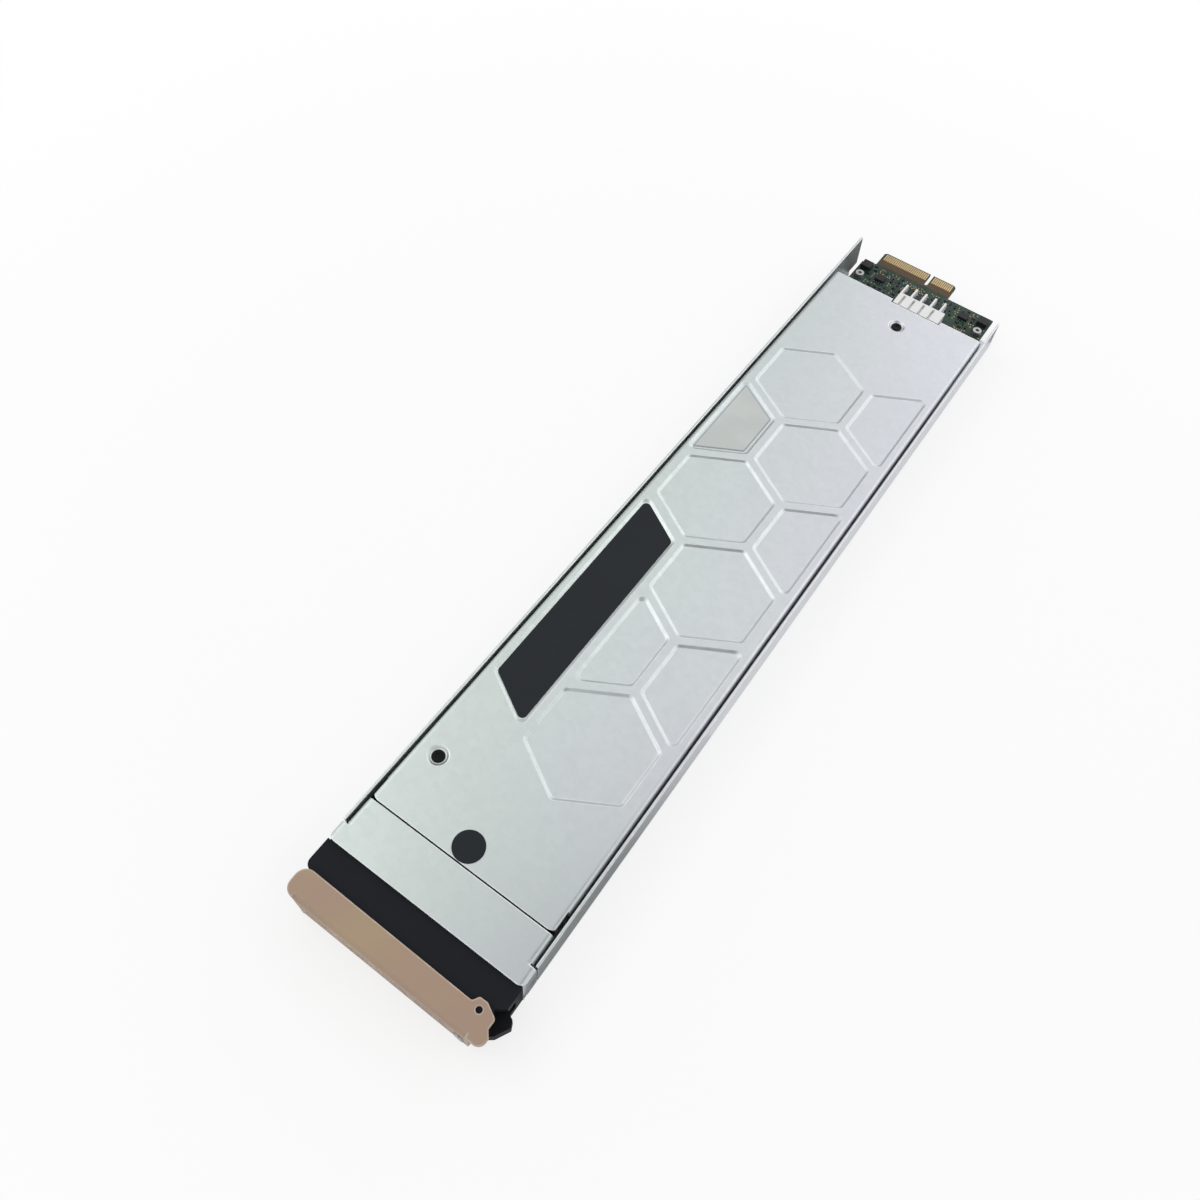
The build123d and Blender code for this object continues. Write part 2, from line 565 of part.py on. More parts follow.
def spigot():
    """Open collar that plugs into the front frame and stands on the tray's floor."""
    half = TRAY_HALF - SHEET - SPIGOT_FIT
    collar = rect(-half, half, SHEET, COVER_UNDER - SPIGOT_FIT)
    inside = offset(collar, -BEZEL_WALL)
    collar = chamfer(collar.vertices(), BEND_RADIUS)
    ring = along_y(collar - inside, FRAME_FRONT, FRAME_FRONT + SPIGOT_LENGTH)
    return ring - [frame_screw(side) for side in (-1, 1)]


def lever_outline():
    """Plan outline of the lever's two plates, with the lobe round the pivot."""
    front, side, crown, rear = [
        (PIVOT_X + x, PIVOT_Y + y) for x, y in (LOBE_FRONT, LOBE_SIDE, LOBE_CROWN, LOBE_REAR)
    ]
    start = (PIVOT_X + LOBE_START, LEVER_REAR)
    tip = (LEVER_LEFT, LEVER_REAR + LEVER_TAPER)
    outline = Polygon(
        (LEVER_LEFT, LEVER_FRONT), (LEVER_RIGHT, LEVER_FRONT), (LEVER_RIGHT, LEVER_FRONT + LEVER_TOE_LENGTH),
        front, side, crown, rear, start, tip,
    )
    outline = fillet(corners_near(outline, (LEVER_LEFT, LEVER_FRONT), tip), LEVER_END_RADIUS)
    outline = fillet(corners_near(outline, (LEVER_RIGHT, LEVER_FRONT)), LEVER_TOE_RADIUS)
    return fillet(corners_near(outline, side, crown, rear, start), LOBE_BLEND)


def lever():
    """Folded channel: a long upper and a shorter lower plate on the pin, joined by a slotted web."""
    outline = lever_outline()
    fold = BEND_RADIUS + LEVER_SHEET
    web_left = LEVER_LEFT + LEVER_END_RADIUS
    web_right = PIVOT_X + LEVER_WEB_REACH
    plan = outline - rect(web_left, web_right, LEVER_FRONT, LEVER_FRONT + fold)
    short = rect(LEVER_LEFT, PIVOT_X, LEVER_FRONT, FRAME_FRONT) + disc(PIVOT_X, PIVOT_Y, LUG_RADIUS)
    plates = up(plan & short, LEVER_LIFT, LEVER_LIFT + LEVER_SHEET)
    plates += up(plan, CASE_HEIGHT - LEVER_SHEET, CASE_HEIGHT)
    middle = LEVER_FRONT + LEVER_DEPTH / 2
    outer = rect(LEVER_FRONT, middle, LEVER_LIFT, CASE_HEIGHT)
    outer = fillet(outer.vertices().group_by(Axis.X)[0], fold)
    inner = rect(LEVER_FRONT + LEVER_SHEET, middle, LEVER_LIFT + LEVER_SHEET, CASE_HEIGHT - LEVER_SHEET)
    inner = fillet(inner.vertices().group_by(Axis.X)[0], BEND_RADIUS)
    web = along_x(outer - inner, web_left, web_right)
    first = web_left + SLOT_MARGIN
    last = PIVOT_X - HOOK_FOOT_LEFT - SLOT_MARGIN
    count = int((last - first - SLOT_LENGTH) / SLOT_PITCH) + 1
    grid = Pos((first + last) / 2, MIDDLE_Z) * GridLocations(SLOT_PITCH, SLOT_ROW_PITCH, count, SLOT_ROWS)
    slots = [spot * SlotOverall(SLOT_LENGTH, SLOT_HEIGHT) for spot in grid]
    slots = [along_y(slot, LEVER_FRONT, LEVER_FRONT + LEVER_SHEET) for slot in slots]
    pivot = up(disc(PIVOT_X, PIVOT_Y, PIN_RADIUS + PIN_FIT), 0, CASE_HEIGHT)
    return plates + web - slots - pivot - rivet_shanks()


def lever_hook():
    """Black cam hook between the lugs, riveted to the lever's web."""
    blade = Polygon(
        (-HOOK_FOOT_LEFT, HOOK_FOOT_Y), (HOOK_FOOT_RIGHT, HOOK_FOOT_Y), HOOK_THROAT,
        HOOK_TIP_FRONT, HOOK_TIP_REAR, HOOK_HEEL, (0, HOOK_HUB), (-HOOK_HUB, 0),
    )
    outline = Pos(PIVOT_X, PIVOT_Y) * (blade + Circle(HOOK_HUB) - Circle(PIN_RADIUS + PIN_FIT))
    return up(outline, HOOK_BOTTOM, HOOK_TOP) - rivet_shanks()


def lever_pin():
    """Pivot pin, pressed into the bezel's lugs."""
    return up(disc(PIVOT_X, PIVOT_Y, PIN_RADIUS), LEVER_LIFT + PIN_RECESS, CASE_HEIGHT - PIN_RECESS)


def rivet_places():
    """Front view places of the hook's rivets."""
    return [(PIVOT_X + RIVET_OFFSET, MIDDLE_Z + side * RIVET_SPACING / 2) for side in (-1, 1)]


def rivet_shanks():
    """Shanks that pass through the lever's web into the hook."""
    end = LEVER_FRONT + RIVET_LENGTH
    return [along_y(disc(x, z, RIVET_RADIUS), LEVER_FRONT, end) for x, z in rivet_places()]


def hook_rivets():
    """Rivets with low heads on the lever's front face."""
    top = LEVER_FRONT - RIVET_HEAD_HEIGHT
    heads = [along_y(disc(x, z, RIVET_HEAD), top, LEVER_FRONT) for x, z in rivet_places()]
    return gather([head + shank for head, shank in zip(heads, rivet_shanks())])


def catch_spring():
    """Leaf on the bezel's face whose tip presses up under the lever's upper plate."""
    face = BEZEL_FRONT - CATCH_LEAF / 2
    tip = BEZEL_TOP - CATCH_LEAF
    elbow = tip - CATCH_REACH / 2
    leaf = Polyline(
        (face, elbow - CATCH_FOOT), (face, elbow), (face - CATCH_CREST, tip), (face - CATCH_REACH, elbow),
    )
    return along_x(trace(leaf, CATCH_LEAF), CATCH_X - CATCH_WIDTH / 2, CATCH_X + CATCH_WIDTH / 2)


def pipe_sections():
    """Front view outlines of the two light pipes."""
    half = PIPE_WIDTH / 2
    return [rect(x - half, x + half, PIPE_Z - half, PIPE_Z + half) for x in PIPE_XS]


def light_pipes():
    """Clear square rods from the status lamps to the bezel's face."""
    return gather([along_y(section, BEZEL_FRONT - PIPE_PROUD, -BOARD_FRONT) for section in pipe_sections()])


def status_leds():
    """Lamps on the board's front edge."""
    size = (LED_WIDTH, LED_LENGTH, LED_HEIGHT)
    return gather([brick(x, -BOARD_FRONT + LED_LENGTH / 2, BOARD_TOP, size) for x in PIPE_XS])


# Circuit board

def main_board():
    """Board with a stepped rear corner, a keyed edge tab and holes for its fixings."""
    outline = rect(-BOARD_HALF, BOARD_HALF, -BOARD_FRONT, BOARD_REAR)
    outline -= rect(-BOARD_HALF, -BOARD_HALF + BOARD_STEP_WIDTH, BOARD_REAR - BOARD_STEP_LENGTH, BOARD_REAR)
    tab = rect(TAB_LEFT, TAB_RIGHT, BOARD_REAR - TAB_LENGTH, TAB_REAR)
    tab = chamfer(tab.vertices().group_by(Axis.Y)[-1], TAB_CHAMFER)
    key = rect(KEY_X - KEY_WIDTH / 2, KEY_X + KEY_WIDTH / 2, TAB_REAR - KEY_LENGTH, TAB_REAR)
    key += disc(KEY_X, TAB_REAR - KEY_LENGTH, KEY_WIDTH / 2)
    outline = outline + tab - key
    outline -= [disc(x, y, SCREW_RADIUS) for x, y in standoff_places()]
    outline -= [hexagon(x, y, POST_RADIUS + POST_CLEARANCE) for x, y in COVER_SCREWS]
    return up(outline, BOARD_BOTTOM, BOARD_TOP)


def edge_contacts():
    """Gold contacts on both faces of the edge tab, with a gap at the key slot."""
    count = int((TAB_WIDTH - 2 * TAB_CHAMFER) / FINGER_PITCH)
    first = TAB_CENTER_X - FINGER_PITCH * (count - 1) / 2
    xs = [first + FINGER_PITCH * place for place in range(count)]
    rear = TAB_REAR - FINGER_INSET
    clear = (KEY_WIDTH + FINGER_WIDTH) / 2
    strips = [
        rect(x - FINGER_WIDTH / 2, x + FINGER_WIDTH / 2, rear - FINGER_LENGTH, rear)
        for x in xs if abs(x - KEY_X) > clear
    ]
    upper = [up(strip, BOARD_TOP, BOARD_TOP + FINGER_THICKNESS) for strip in strips]
    lower = [up(strip, BOARD_BOTTOM - FINGER_THICKNESS, BOARD_BOTTOM) for strip in strips]
    return gather(upper + lower)


def fin_places():
    """Middles of the header's fins."""
    return [FIN_FIRST_X + FIN_PITCH * place for place in range(FIN_COUNT)]


def power_header():
    """White header: grooved body behind the cover's notch, with fins between its cells."""
    side_view = Polygon(
        (HEADER_REAR - FIN_THICKNESS, BOARD_TOP), (HEADER_REAR + FIN_LENGTH, BOARD_TOP),
        (HEADER_REAR + FIN_LENGTH, HEADER_TOP - 2 * FIN_NOSE),
        (HEADER_REAR + FIN_LENGTH - FIN_NOSE, HEADER_TOP - FIN_NOSE / 2),
        (HEADER_REAR - FIN_THICKNESS, HEADER_TOP),
    )
    body = up(rect(HEADER_LEFT, HEADER_RIGHT, HEADER_FRONT, HEADER_REAR), BOARD_TOP, HEADER_TOP)
    middles = [x + FIN_PITCH / 2 for x in fin_places()[:-1]]
    grooves = [
        up(rect(x - HEADER_GROOVE / 2, x + HEADER_GROOVE / 2, HEADER_FRONT, HEADER_REAR - FIN_THICKNESS),
           HEADER_TOP - HEADER_GROOVE_DEPTH, HEADER_TOP)
        for x in middles
    ]
    fins = [along_x(side_view, x - FIN_THICKNESS / 2, x + FIN_THICKNESS / 2) for x in fin_places()]
    return body - grooves + fins


def power_contacts():
    """Dark contacts standing in the header's cells."""
    size = (FIN_PITCH - FIN_THICKNESS - 2 * CONTACT_GAP, CONTACT_LENGTH, CONTACT_HEIGHT)
    y = HEADER_REAR + CONTACT_LENGTH / 2
    return gather([brick(x + FIN_PITCH / 2, y, BOARD_TOP, size) for x in fin_places()[:-1]])


def corner_blocks():
    """Black parts on the board's two rear corners."""
    side = BOARD_HALF - CORNER_BLOCK_SIDE
    y = BOARD_REAR - CORNER_BLOCK_REAR
    return gather([brick(x, y, BOARD_TOP, CORNER_BLOCK_SIZE) for x in (-side, side)])


def standoffs():
    """Hexagonal spacers riveted into the tray's floor under the board."""
    bottom = BOARD_BOTTOM - BOARD_SCREW_GRIP - BORE_SPARE
    return gather([
        up(hexagon(x, y, STANDOFF_SHANK), 0, SHEET)
        + up(hexagon(x, y, STANDOFF_RADIUS), SHEET, BOARD_BOTTOM)
        - up(disc(x, y, SCREW_RADIUS), bottom, BOARD_BOTTOM)
        for x, y in standoff_places()
    ])


def board_screws():
    """Screws through the board into the standoffs."""
    return gather([
        up(disc(x, y, SCREW_RADIUS), BOARD_BOTTOM - BOARD_SCREW_GRIP, BOARD_TOP)
        + up(disc(x, y, BOARD_HEAD_RADIUS), BOARD_TOP, BOARD_TOP + BOARD_HEAD_HEIGHT)
        for x, y in standoff_places()
    ])


def cover_posts():
    """Hexagonal posts from the tray's floor to the cover's dimples."""
    bottom = POST_TOP - SCREW_GRIP - BORE_SPARE
    return gather([
        up(hexagon(x, y, STANDOFF_SHANK), 0, SHEET)
        + up(hexagon(x, y, POST_RADIUS), SHEET, POST_TOP)
        - up(disc(x, y, SCREW_RADIUS), bottom, POST_TOP)
        for x, y in COVER_SCREWS
    ])


def cover_screws():
    """Black low-head screws seated in the cover's dimples."""
    seat = CASE_HEIGHT - DIMPLE_DEPTH
    return gather([
        up(disc(x, y, SCREW_RADIUS), POST_TOP - SCREW_GRIP, seat)
        + up(disc(x, y, COVER_HEAD_RADIUS), seat, seat + COVER_HEAD_HEIGHT)
        for x, y in COVER_SCREWS
    ])


# Packages, pads and heat spreaders

def flash_places():
    """Middles of the flash packages on one face of the board."""
    return [(side * FLASH_X, y) for y in FLASH_ROW_YS for side in (-1, 1)]


def upper_flash_chips():
    """Flash packages on the board's upper face."""
    return gather([brick(x, y, BOARD_TOP, FLASH_SIZE) for x, y in flash_places()])


def lower_flash_chips():
    """Flash packages on the board's lower face."""
    return gather([brick(x, y, BOARD_BOTTOM - FLASH_SIZE[2], FLASH_SIZE) for x, y in flash_places()])


def controller_chips():
    """Large controllers along the board's middle."""
    return gather([brick(0, y, BOARD_TOP, CONTROLLER_SIZE) for y in CONTROLLER_YS])


def buffer_chips():
    """Memory packages in pairs between the controllers."""
    ys = [y + CONTROLLER_PITCH / 2 for y in CONTROLLER_YS[:-1]]
    x = (BUFFER_SIZE[0] + BUFFER_GAP) / 2
    return gather([brick(side * x, y, BOARD_TOP, BUFFER_SIZE) for y in ys for side in (-1, 1)])


def flash_strips(z0, z1):
    """Soft strips over both columns of flash packages, between two levels."""
    front, rear = SPREADER_FRONT + SPREADER_MARGIN, SPREADER_REAR - SPREADER_MARGIN
    half = FLASH_SIZE[0] / 2
    return [up(rect(x - half, x + half, front, rear), z0, z1) for x in (-FLASH_X, FLASH_X)]


def upper_pads():
    """Soft pads between the upper packages and the folded heat spreader."""
    size = (CONTROLLER_SIZE[0], CONTROLLER_SIZE[1], PAD_THICKNESS)
    squares = [brick(0, y, BOARD_TOP + CONTROLLER_SIZE[2], size) for y in CONTROLLER_YS]
    return gather(squares + flash_strips(BOARD_TOP + FLASH_SIZE[2], SPREADER_BOTTOM))


def lower_pads():
    """Soft pads between the lower packages and the plate on the floor."""
    return gather(flash_strips(LOWER_SPREADER_TOP, BOARD_BOTTOM - FLASH_SIZE[2]))


def upper_spreader():
    """Folded aluminium channel that carries heat from the pads to the cover's panels."""
    low = SPREADER_BOTTOM + SPREADER_SHEET / 2
    high = PANEL_UNDER - SPREADER_SHEET / 2
    end = SPREADER_HALF + SPREADER_LIP
    line = Polyline(
        (-end, high), (-SPREADER_HALF, high), (-SPREADER_HALF, low),
        (SPREADER_HALF, low), (SPREADER_HALF, high), (end, high),
    )
    return along_y(trace(line, SPREADER_SHEET), SPREADER_FRONT, SPREADER_REAR)


def lower_spreader():
    """Aluminium plate between the lower pads and the tray's floor."""
    plan = rect(-SPREADER_HALF, SPREADER_HALF, SPREADER_FRONT, SPREADER_REAR)
    return up(plan, SHEET, LOWER_SPREADER_TOP)


def chokes():
    """Power chokes in front of the header."""
    first = -BOARD_HALF + CHOKE_SIDE_GAP + CHOKE_SIZE[0] / 2
    xs = [first + CHOKE_PITCH * place for place in range(CHOKE_COUNT)]
    return gather([brick(x, COVER_LENGTH - CHOKE_INSET, BOARD_TOP, CHOKE_SIZE) for x in xs])


def capacitors():
    """Block capacitors on the other side of the board."""
    first = BOARD_HALF - CAPACITOR_SIDE_GAP - CAPACITOR_SIZE[0] / 2
    xs = [first - CAPACITOR_PITCH * place for place in range(CAPACITOR_COUNT)]
    return gather([brick(x, CAPACITOR_Y, BOARD_TOP, CAPACITOR_SIZE) for x in xs])


# Labels

def side_label():
    """Bare black label in its pocket."""
    face = CASE_HEIGHT - PANEL_DEPTH
    return up(fillet(label_outline().vertices(), LABEL_CORNER), face, face + LABEL_THICKNESS)


def code_label():
    """Bare grey label in the small panel at the left edge."""
    outline = offset(tag_panel(), -TAG_INSET, kind=Kind.INTERSECTION)
    face = CASE_HEIGHT - PANEL_DEPTH
    return up(outline, face, face + LABEL_THICKNESS)


def seal_disc():
    """Round black disc stuck on the cover beside the seam."""
    return up(disc(SEAL_X, SEAL_Y, SEAL_RADIUS), CASE_HEIGHT, CASE_HEIGHT + SEAL_THICKNESS)


NODES = [
    tray, top_cover, front_frame, frame_screws, bezel, lever, lever_hook, lever_pin, hook_rivets,
    catch_spring, light_pipes, status_leds, main_board, edge_contacts, power_header, power_contacts,
    corner_blocks, standoffs, board_screws, cover_posts, cover_screws, upper_flash_chips,
    lower_flash_chips, controller_chips, buffer_chips, upper_pads, lower_pads, upper_spreader,
    lower_spreader, chokes, capacitors, side_label, code_label, seal_disc,
]

os.makedirs("parts", exist_ok=True)
for node in NODES:
    export_step(node(), f"parts/{node.__name__}.step")
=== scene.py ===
"""Looks of a flash memory module: its finishes, fasteners, board detail, studio and camera.

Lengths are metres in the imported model's frame: +X to the hook side, +Y to the rear, +Z up.
"""
from __future__ import annotations

import json
import logging
import math
import random
from dataclasses import dataclass, field
from enum import Enum
from typing import Any, Iterable, Sequence, Union

import bmesh
import bpy
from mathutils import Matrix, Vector

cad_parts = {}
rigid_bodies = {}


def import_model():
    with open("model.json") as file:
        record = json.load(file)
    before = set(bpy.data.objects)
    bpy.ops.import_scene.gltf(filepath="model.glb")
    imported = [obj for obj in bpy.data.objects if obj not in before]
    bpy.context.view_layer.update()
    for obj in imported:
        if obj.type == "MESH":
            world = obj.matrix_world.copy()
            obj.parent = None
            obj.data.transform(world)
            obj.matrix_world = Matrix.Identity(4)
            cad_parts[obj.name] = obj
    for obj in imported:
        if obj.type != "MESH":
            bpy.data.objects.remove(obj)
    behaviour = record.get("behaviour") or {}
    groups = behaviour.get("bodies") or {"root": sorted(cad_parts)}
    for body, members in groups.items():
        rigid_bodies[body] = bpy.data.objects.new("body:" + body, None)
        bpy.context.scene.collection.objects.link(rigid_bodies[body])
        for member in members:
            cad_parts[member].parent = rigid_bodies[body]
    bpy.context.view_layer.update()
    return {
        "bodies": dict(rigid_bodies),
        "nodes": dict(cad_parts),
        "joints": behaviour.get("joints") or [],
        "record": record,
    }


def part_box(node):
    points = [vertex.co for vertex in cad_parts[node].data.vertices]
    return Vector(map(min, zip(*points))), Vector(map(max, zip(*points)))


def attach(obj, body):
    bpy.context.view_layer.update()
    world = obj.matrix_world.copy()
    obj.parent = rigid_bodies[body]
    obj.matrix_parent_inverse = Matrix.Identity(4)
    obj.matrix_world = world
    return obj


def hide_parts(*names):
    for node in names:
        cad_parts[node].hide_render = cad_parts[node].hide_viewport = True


LOG = logging.getLogger("flash_module")
MM = 0.001
CASE = "case"
Colour = tuple[float, float, float]
Place = tuple[float, float, float]
Span = tuple[float, float]
Value = Union["Wire", float, int, Sequence[float], None]


class Grain(Enum):
    """Direction of a metal's drawn or rolled grain, as a stretch of the pattern."""

    ALONG = (1.0, 0.05, 1.0)
    NONE = (1.0, 1.0, 1.0)


class Wire:
    """A node's output socket; arithmetic on it adds Math nodes."""

    def __init__(self, graph: Graph, socket: bpy.types.NodeSocket) -> None:
        """Keep the graph and the socket."""
        self.graph = graph
        self.socket = socket

    def __add__(self, other: Value) -> Wire:
        """Sum."""
        return self.graph.math("ADD", self, other)

    __radd__ = __add__

    def __sub__(self, other: Value) -> Wire:
        """Difference."""
        return self.graph.math("SUBTRACT", self, other)

    def __rsub__(self, other: Value) -> Wire:
        """Difference from a number."""
        return self.graph.math("SUBTRACT", other, self)

    def __mul__(self, other: Value) -> Wire:
        """Product."""
        return self.graph.math("MULTIPLY", self, other)

    __rmul__ = __mul__

    def __truediv__(self, other: Value) -> Wire:
        """Quotient."""
        return self.graph.math("DIVIDE", self, other)

    def __rtruediv__(self, other: Value) -> Wire:
        """Quotient of a number."""
        return self.graph.math("DIVIDE", other, self)

    def clamped(self) -> Wire:
        """The same value kept between 0 and 1."""
        return self.graph.math("ADD", self, 0.0, clamp=True)

    def ramp(self, low: float, high: float) -> Wire:
        """Smooth step from 0 at low to 1 at high.

        Args:
            low: Value that gives 0.
            high: Value that gives 1.

        Returns:
            The stepped wire.
        """
        settings = {"interpolation_type": "SMOOTHSTEP", "clamp": True}
        return self.graph.add("ShaderNodeMapRange", settings, {0: self, 1: low, 2: high})

    def other(self, output: str) -> Wire:
        """Another output of the same node."""
        return Wire(self.graph, self.socket.node.outputs[output])


class Graph:
    """A node tree: add makes any node, and the other methods are short forms of it."""

    def __init__(self, tree: bpy.types.NodeTree) -> None:
        """Empty the tree."""
        self.tree = tree
        tree.nodes.clear()

    def add(
        self,
        kind: str,
        settings: dict[str, Any] | None = None,
        inputs: dict[Union[str, int], Any] | None = None,
        output: Union[str, int] = 0,
    ) -> Wire:
        """Add a node.

        Args:
            kind: The node's type.
            settings: Its properties, set first.
            inputs: Values or wires of its sockets, by name or number; a list links several wires.
            output: The output that is returned.

        Returns:
            The wire of that output, or of the first input where the node has no output.
        """
        node = self.tree.nodes.new(kind)
        for key, value in (settings or {}).items():
            setattr(node, key, value)
        for key, value in (inputs or {}).items():
            socket = node.inputs[key]
            if value is None:
                continue
            if isinstance(value, (Wire, list)):
                for wire in value if isinstance(value, list) else [value]:
                    self.tree.links.new(wire.socket, socket)
            elif socket.type == "RGBA" and len(value) == 3:
                socket.default_value = (*value, 1.0)
            else:
                socket.default_value = value
        return Wire(self, node.outputs[output] if node.outputs else node.inputs[0])

    def math(self, operation: str, first: Value, second: Value = None, clamp: bool = False) -> Wire:
        """Add one Math node.

        Args:
            operation: Name of the Math node's operation.
            first: First operand.
            second: Second operand, where the operation has one.
            clamp: Whether the result is kept between 0 and 1.

        Returns:
            The result's wire.
        """
        settings = {"operation": operation, "use_clamp": clamp}
        return self.add("ShaderNodeMath", settings, {0: first, 1: second})

    def scaled(self, vector: Wire, factors: Place) -> Wire:
        """A vector with each component times a factor."""
        return self.add("ShaderNodeVectorMath", {"operation": "MULTIPLY"}, {0: vector, 1: factors})

    def noise(self, place: Wire, size: float, detail: float = 3.0, stretch: Place = (1, 1, 1)) -> Wire:
        """Soft random pattern.

        Args:
            place: Coordinates.
            size: Size of its features.
            detail: Number of finer layers.
            stretch: Factor on the pattern's frequency along each axis.

        Returns:
            Values about 0.5.
        """
        spot = self.scaled(place, tuple(factor / size for factor in stretch))
        return self.add("ShaderNodeTexNoise", None, {"Vector": spot, "Scale": 1.0, "Detail": detail})

    def cells(self, place: Wire, size: float, feature: str = "F1", metric: str = "EUCLIDEAN") -> Wire:
        """Cell pattern.

        Args:
            place: Coordinates.
            size: Size of a cell.
            feature: Which distance is given.
            metric: How distance is measured.

        Returns:
            Distance in cell sizes.
        """
        settings = {"feature": feature, "distance": metric}
        return self.add("ShaderNodeTexVoronoi", settings, {"Vector": place, "Scale": 1.0 / size})

    def mix(self, factor: Value, first: Value, second: Value) -> Wire:
        """Blend of two colours.

        Args:
            factor: 0 for the first colour, 1 for the second.
            first: Colour.
            second: Colour.

        Returns:
            The blended colour.
        """
        settings = {"data_type": "RGBA", "clamp_factor": True}
        return self.add("ShaderNodeMix", settings, {0: factor, 6: first, 7: second}, output=2)

    def axis(self, vector: Wire, name: str) -> Wire:
        """One component of a vector."""
        return self.add("ShaderNodeSeparateXYZ", None, {0: vector}, output=name)


def node_material(name: str) -> tuple[bpy.types.Material, Graph]:
    """Make a material with an empty node tree.

    Args:
        name: The material's name.

    Returns:
        The material and its graph.
    """
    material = bpy.data.materials.new(name)
    material.use_nodes = True
    return material, Graph(material.node_tree)


def linked(name: str, data: bpy.types.ID) -> bpy.types.Object:
    """Put a new object in the scene.

    Args:
        name: The object's name.
        data: Its mesh, lamp or camera.

    Returns:
        The object, at the origin.
    """
    thing = bpy.data.objects.new(name, data)
    bpy.context.scene.collection.objects.link(thing)
    return thing


@dataclass
class Look:
    """What a finish varies over its surface."""

    colour: Wire
    roughness: Value
    height: Wire


def shade(colour: Colour, factor: float) -> Colour:
    """A colour made lighter or darker by a factor."""
    return tuple(min(channel * factor, 1.0) for channel in colour)


@dataclass(frozen=True)
class Finish:
    """A surface finish; a subclass says how it varies."""

    slot: str
    colour: Colour
    roughness: float = 0.5
    metallic: float = 0.0
    specular: float = 0.5
    transmission: float = 0.0
    edge_radius: float = 0.2 * MM
    # The edge colour, its share and its gain tint the edges: partly wear, partly a painted highlight.
    rim_wear_and_highlight_colour: Colour = (0.6, 0.6, 0.6)
    edge_wear_and_highlight: float = 0.3
    edge_gain: float = 4.0
    edge_samples: int = 6
    edge_patch_size: float = 2.5 * MM
    relief: float = 0.02 * MM

    def look(self, graph: Graph, place: Wire) -> Look:
        """How colour, roughness and height vary.

        Args:
            graph: The material's nodes.
            place: Object coordinates.

        Returns:
            The varying look.
        """
        raise NotImplementedError

    def material(self) -> bpy.types.Material:
        """Build the finish.

        Returns:
            A node material with rounded edges, coloured at the edges by a mask that paints a highlight as
            well as wear.
        """
        material, graph = node_material(self.slot)
        place = graph.add("ShaderNodeTexCoord", output="Object")
        look = self.look(graph, place)
        rounded = graph.add("ShaderNodeBevel", {"samples": self.edge_samples}, {"Radius": self.edge_radius})
        normal = graph.add("ShaderNodeNewGeometry", output="Normal")
        dot = {"operation": "DOT_PRODUCT"}
        facing = graph.add("ShaderNodeVectorMath", dot, {0: rounded, 1: normal}, output="Value")
        # Painted highlight and wear: where the rounded normal bends away, the edges are blended towards the
        # edge colour, patchily along them.
        edge_patchiness = graph.noise(place, self.edge_patch_size, 4.0).ramp(0.3, 0.7)
        edge = ((1.0 - facing) * self.edge_gain).clamped() * self.edge_wear_and_highlight * (0.5 + edge_patchiness * 0.5)
        colour = graph.mix(edge, look.colour, self.rim_wear_and_highlight_colour)
        bump = graph.add("ShaderNodeBump", None, {
            "Strength": 1.0, "Distance": self.relief, "Height": look.height, "Normal": rounded,
        })
        shader = graph.add("ShaderNodeBsdfPrincipled", None, {
            "Base Color": colour, "Roughness": look.roughness, "Metallic": self.metallic,
            "Specular IOR Level": self.specular, "Transmission Weight": self.transmission, "Normal": bump,
        })
        graph.add("ShaderNodeOutputMaterial", None, {"Surface": shader})
        return material


@dataclass(frozen=True)
class SheetSteel(Finish):
    """Zinc-plated sheet: faint crystal cells, rolled grain, cloudy tint, a painted tint of coloured light and
    fine scratches.
    """

    warm: Colour = (0.57, 0.63, 0.61)
    cool: Colour = (0.60, 0.62, 0.66)
    # Lengths over which the painted light tint shifts across and along the sheet.
    light_shift_width: float = 90.0 * MM
    light_shift_length: float = 420.0 * MM
    cloud_size: float = 70.0 * MM
    patch_size: float = 9.0 * MM
    spangle: float = 2.4 * MM
    grain_size: float = 0.35 * MM
    scratch_spacing: float = 3.2 * MM
    scratch_patch: float = 14.0 * MM
    scratch_angle: float = 0.5
    scratch_stretch: float = 0.06

    def look(self, graph: Graph, place: Wire) -> Look:
        """Zinc sheet. See Finish.look."""
        cloud = graph.noise(place, self.cloud_size, 3.0)
        # Painted light: the tint runs from green at the left front to blue at the right rear, standing in for
        # tinted light; the cloud adds random tone.
        across = graph.axis(place, "X") / self.light_shift_width + graph.axis(place, "Y") / self.light_shift_length
        cloud_and_light_shift = graph.mix((across + cloud - 0.4).clamped(), self.warm, self.cool)
        crystal = graph.axis(graph.cells(place, self.spangle).other("Color"), "X")
        rolled = graph.noise(place, self.grain_size, 2.0, Grain.ALONG.value)
        light = crystal * 0.5 + rolled * 0.3 + graph.noise(place, self.patch_size) * 0.5
        colour = graph.mix((light - 0.3) * 0.22, cloud_and_light_shift, shade(self.colour, 0.72))
        tilted = graph.add("ShaderNodeMapping", None, {
            "Vector": place, "Rotation": (0, 0, self.scratch_angle), "Scale": (1, self.scratch_stretch, 1),
        })
        scratch = 1.0 - graph.cells(tilted, self.scratch_spacing, "DISTANCE_TO_EDGE").ramp(0.0, 0.012)
        scratch = scratch * graph.noise(place, self.scratch_patch).ramp(0.55, 0.7)
        colour = graph.mix(scratch * 0.25, colour, shade(self.colour, 1.3))
        roughness = self.roughness + (cloud - 0.5) * 0.12 + (crystal - 0.5) * 0.06 - scratch * 0.08
        return Look(colour, roughness, rolled * 0.6 + crystal * 0.25 - scratch * 0.3)


